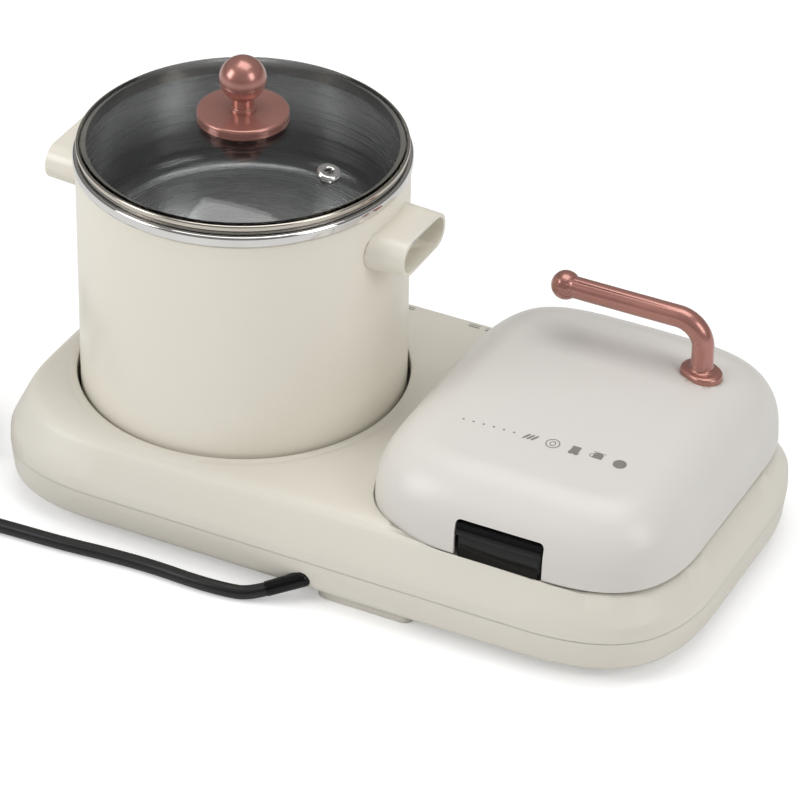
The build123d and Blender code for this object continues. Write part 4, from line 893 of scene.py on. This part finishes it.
# %% Print on the press cover
cover_low, cover_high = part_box("press_cover")
crown_radius = 1.2
crown_x = (cover_low.x + cover_high.x) / 2
crown_y = (cover_low.y + cover_high.y) / 2
print_y = 43.0 * mm
dot_start = -59.0 * mm
dot_pitch = -5.8 * mm
dot_count = 6
dot_radius = 0.65 * mm
sign_start = -97.5 * mm
sign_pitch = -12.6 * mm
sign_line = 0.6 * mm


def crown_height(x, y):
    aside = (x - crown_x) ** 2 + (y - crown_y) ** 2
    return cover_high.z - crown_radius + math.sqrt(crown_radius ** 2 - aside)


def steam_sign(shape, x, y):
    for side in (-1, 0, 1):
        stamp_disc(shape, x + side * 2.3 * mm, y, 2.9 * mm, 0.24, 62.0)


def egg_sign(shape, x, y):
    stamp_ring(shape, x, y, 3.9 * mm, sign_line)
    stamp_ring(shape, x, y, 2.1 * mm, sign_line, 0.78, 90.0)


def slice_sign(shape, x, y):
    stamp_bar(shape, x, y - 0.6 * mm, 4.8 * mm, 5.6 * mm)
    stamp_disc(shape, x - 1.4 * mm, y + 2.2 * mm, 1.5 * mm)
    stamp_disc(shape, x + 1.4 * mm, y + 2.2 * mm, 1.5 * mm)


def cup_sign(shape, x, y):
    stamp_bar(shape, x, y - 0.4 * mm, 5.4 * mm, 3.6 * mm)
    stamp_disc(shape, x, y - 2.2 * mm, 2.7 * mm, 0.45)
    stamp_ring(shape, x + 3.1 * mm, y - 0.4 * mm, 1.5 * mm, 0.45 * mm)
    stamp_bar(shape, x, y - 3.7 * mm, 7.0 * mm, 0.5 * mm)


def round_sign(shape, x, y):
    stamp_disc(shape, x, y, 3.7 * mm, segments=12)


def print_cover():
    shape = bmesh.new()
    for k in range(dot_count):
        stamp_disc(shape, dot_start + dot_pitch * k, print_y, dot_radius, segments=12)
    for k, sign in enumerate((steam_sign, egg_sign, slice_sign, cup_sign, round_sign)):
        sign(shape, sign_start + sign_pitch * k, print_y)
    lay_print(shape, "cover_print", crown_height, "press_lid")


print_cover()

# %% [markdown]
# Three short double dashes mark the deck between the pot and the press, near the front edge. They
# are the same grey print, laid flat on the deck.

# %% Print on the deck
deck_top = 55.0 * mm
deck_print_y = -92.8 * mm
deck_marks = ((0.0, 6.6), (-9.3, 5.2), (39.4, 5.2))


def deck_height(x, y):
    return deck_top


def print_deck():
    shape = bmesh.new()
    for x, length in deck_marks:
        stamp_bar(shape, x * mm, deck_print_y, length * mm, 1.0 * mm)
        stamp_bar(shape, x * mm, deck_print_y - 1.8 * mm, length * mm, 0.5 * mm)
    lay_print(shape, "deck_print", deck_height, "base")


print_deck()

# %% [markdown]
# The round knobs at the front need a pointer line, or nobody could set them. It is a slim raised
# bar let into the grip, and it turns with its knob.

# %% Knob pointers
pointer_width = 1.0 * mm
pointer_length = 8.0 * mm
pointer_depth = 0.5 * mm
pointer_edge = 0.15 * mm
pointer_margin = 2.6 * mm


def knob_pointer(name):
    low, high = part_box(name)
    middle = (low + high) / 2
    shape = bmesh.new()
    size = Matrix.Diagonal((pointer_width, pointer_depth, pointer_length, 1.0))
    bmesh.ops.create_cube(shape, size=1.0, matrix=size)
    bmesh.ops.bevel(shape, geom=shape.edges[:], offset=pointer_edge, affect="EDGES",
                    segments=2, profile=0.5, material=-1)
    place = Vector((middle.x, low.y, high.z - pointer_length / 2 - pointer_margin))
    bmesh.ops.translate(shape, verts=shape.verts, vec=place)
    finish_piece(shape, name + "_pointer", rose_gold, name)
    print("pointer on", name)


for name in ("timer_knob", "power_knob"):
    knob_pointer(name)

# %% [markdown]
# The end ball has two fine raised rings on its rear side. Each is a thin torus, spun from a small
# circle and turned to face the side from which the photograph was taken.

# %% Rings on the end ball
badge_turn = Vector((-0.45, 0.86, 0.24)).normalized()
badge_radii = (4.6 * mm, 2.4 * mm)
badge_wire = 0.28 * mm


def badge_ring(radius, index):
    shape = bmesh.new()
    section = bmesh.ops.create_circle(shape, segments=10, radius=badge_wire)
    edges = list({edge for vert in section["verts"] for edge in vert.link_edges})
    upright = Matrix.Rotation(math.pi / 2, 3, "X")
    bmesh.ops.rotate(shape, verts=shape.verts, cent=(0, 0, 0), matrix=upright)
    bmesh.ops.translate(shape, verts=shape.verts, vec=(radius, 0, 0))
    bmesh.ops.spin(shape, geom=section["verts"] + edges, cent=(0, 0, 0), axis=(0, 0, 1),
                   angle=2 * math.pi, steps=64, use_merge=True)
    bmesh.ops.recalc_face_normals(shape, faces=shape.faces)
    stand = math.sqrt(end_radius ** 2 - radius ** 2)
    turn = badge_turn.to_track_quat("Z", "Y").to_matrix()
    bmesh.ops.rotate(shape, verts=shape.verts, cent=(0, 0, 0), matrix=turn)
    bmesh.ops.translate(shape, verts=shape.verts, vec=end_centre + badge_turn * stand)
    finish_piece(shape, f"ball_ring_{index}", rose_gold, "press_lid")
    print("ring", index, "radius", radius)


for index, radius in enumerate(badge_radii):
    badge_ring(radius, index)

# %% [markdown]
# The mains cord is one fixed length of round rubber. It leaves the rear strain relief, drops to
# the table and lies in loose curves past the pot, out of the photograph. The rest is wound into a
# neat coil: in on the table, up one layer, and out again on top, ending in the plug. One smooth
# curve holds the listed points of the route and, from a loop, the turns of the coil.

# %% Mains cord
cord_diameter = 7.6 * mm
cord_radius = cord_diameter / 2
cord_route = ((0.01682, 0.11841, 0.00719), (0.0255, 0.1227, 0.0038), (0.038, 0.1252, 0.0038),
              (0.056, 0.1261, 0.0038), (0.080, 0.1250, 0.0038), (0.107, 0.1263, 0.0038),
              (0.136, 0.1293, 0.0038), (0.164, 0.1302, 0.0038), (0.190, 0.1319, 0.0038),
              (0.216, 0.1312, 0.0038), (0.238, 0.1310, 0.0038))
coil_centre = Vector((0.268, 0.082, 0))
coil_radius = 48.0 * mm
coil_pitch = 8.2 * mm
inward_quarters = 6
climb_quarters = 2
outward_quarters = 5
points_per_turn = 16
tail_route = ((0.31425, 0.074, 0.012), (0.31435, 0.066, 0.012), (0.3146, 0.052, 0.0098),
              (0.31475, 0.038, 0.0075), (0.31475, 0.0304, 0.0075))


def coil_place(quarters):
    """Radius and height of the coil's middle line after so many quarter turns."""
    inner = coil_radius - coil_pitch * inward_quarters / 4
    if quarters <= inward_quarters:
        return coil_radius - coil_pitch * quarters / 4, cord_radius
    climbed = (quarters - inward_quarters) / climb_quarters
    if climbed < 1:
        ease = climbed * climbed * (3 - 2 * climbed)
        return inner - coil_pitch / 4 * math.sin(math.pi * climbed), cord_radius + coil_pitch * ease
    beyond = quarters - inward_quarters - climb_quarters
    return inner + coil_pitch * beyond / 4, cord_radius + coil_pitch


def coil_points():
    quarters = inward_quarters + climb_quarters + outward_quarters
    steps = quarters * points_per_turn // 4
    widen = 1 / math.cos(math.pi / points_per_turn)
    points = []
    for step in range(steps):
        quarter = step * 4 / points_per_turn
        radius, height = coil_place(quarter)
        angle = math.pi / 2 - quarter * math.pi / 2
        points.append((coil_centre.x + radius * widen * math.cos(angle),
                       coil_centre.y + radius * widen * math.sin(angle), height))
    return points


def make_cord():
    points = list(cord_route) + coil_points() + list(tail_route)
    line = bpy.data.curves.new("mains_cord", "CURVE")
    line.dimensions = "3D"
    line.bevel_depth = cord_radius
    line.bevel_resolution = 6
    line.resolution_u = 8
    line.use_fill_caps = True
    spline = line.splines.new("NURBS")
    spline.points.add(len(points) - 1)
    for target, point in zip(spline.points, points):
        target.co = (*point, 1.0)
    spline.order_u = 3
    spline.use_endpoint_u = True
    line.materials.append(cord_sheath)
    cord = bpy.data.objects.new("mains_cord", line)
    bpy.context.collection.objects.link(cord)
    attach(cord, "base")
    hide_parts("power_cord", "cord_coil")
    print("cord points", len(points))


make_cord()

# %% [markdown]
# The table is a plain pale floor. It takes the soft shadow of the machine, and a little of its
# own brightness shows only to the camera and through glass, so that it reads as white there
# without more light on the machine.

# %% Floor


def make_floor():
    material = bpy.data.materials.new("pale_floor")
    material.use_nodes = True
    tree = material.node_tree
    shader = tree.nodes["Principled BSDF"]
    shader.inputs["Base Color"].default_value = (0.86, 0.86, 0.86, 1.0)
    shader.inputs["Roughness"].default_value = 0.9
    shader.inputs["Specular IOR Level"].default_value = 0.1
    glow = tree.nodes.new("ShaderNodeEmission")
    glow.inputs["Strength"].default_value = 0.30
    joined = tree.nodes.new("ShaderNodeAddShader")
    choose = tree.nodes.new("ShaderNodeMixShader")
    links = tree.links
    links.new(shader.outputs["BSDF"], joined.inputs[0])
    links.new(glow.outputs["Emission"], joined.inputs[1])
    links.new(shown_rays(tree, ("Is Transmission Ray",)), choose.inputs["Fac"])
    links.new(shader.outputs["BSDF"], choose.inputs[1])
    links.new(joined.outputs["Shader"], choose.inputs[2])
    links.new(choose.outputs["Shader"], tree.nodes["Material Output"].inputs["Surface"])
    shape = bmesh.new()
    bmesh.ops.create_grid(shape, x_segments=1, y_segments=1, size=8.0)
    mesh = bpy.data.meshes.new("table")
    shape.to_mesh(mesh)
    shape.free()
    mesh.materials.append(material)
    table = bpy.data.objects.new("table", mesh)
    bpy.context.collection.objects.link(table)


make_floor()
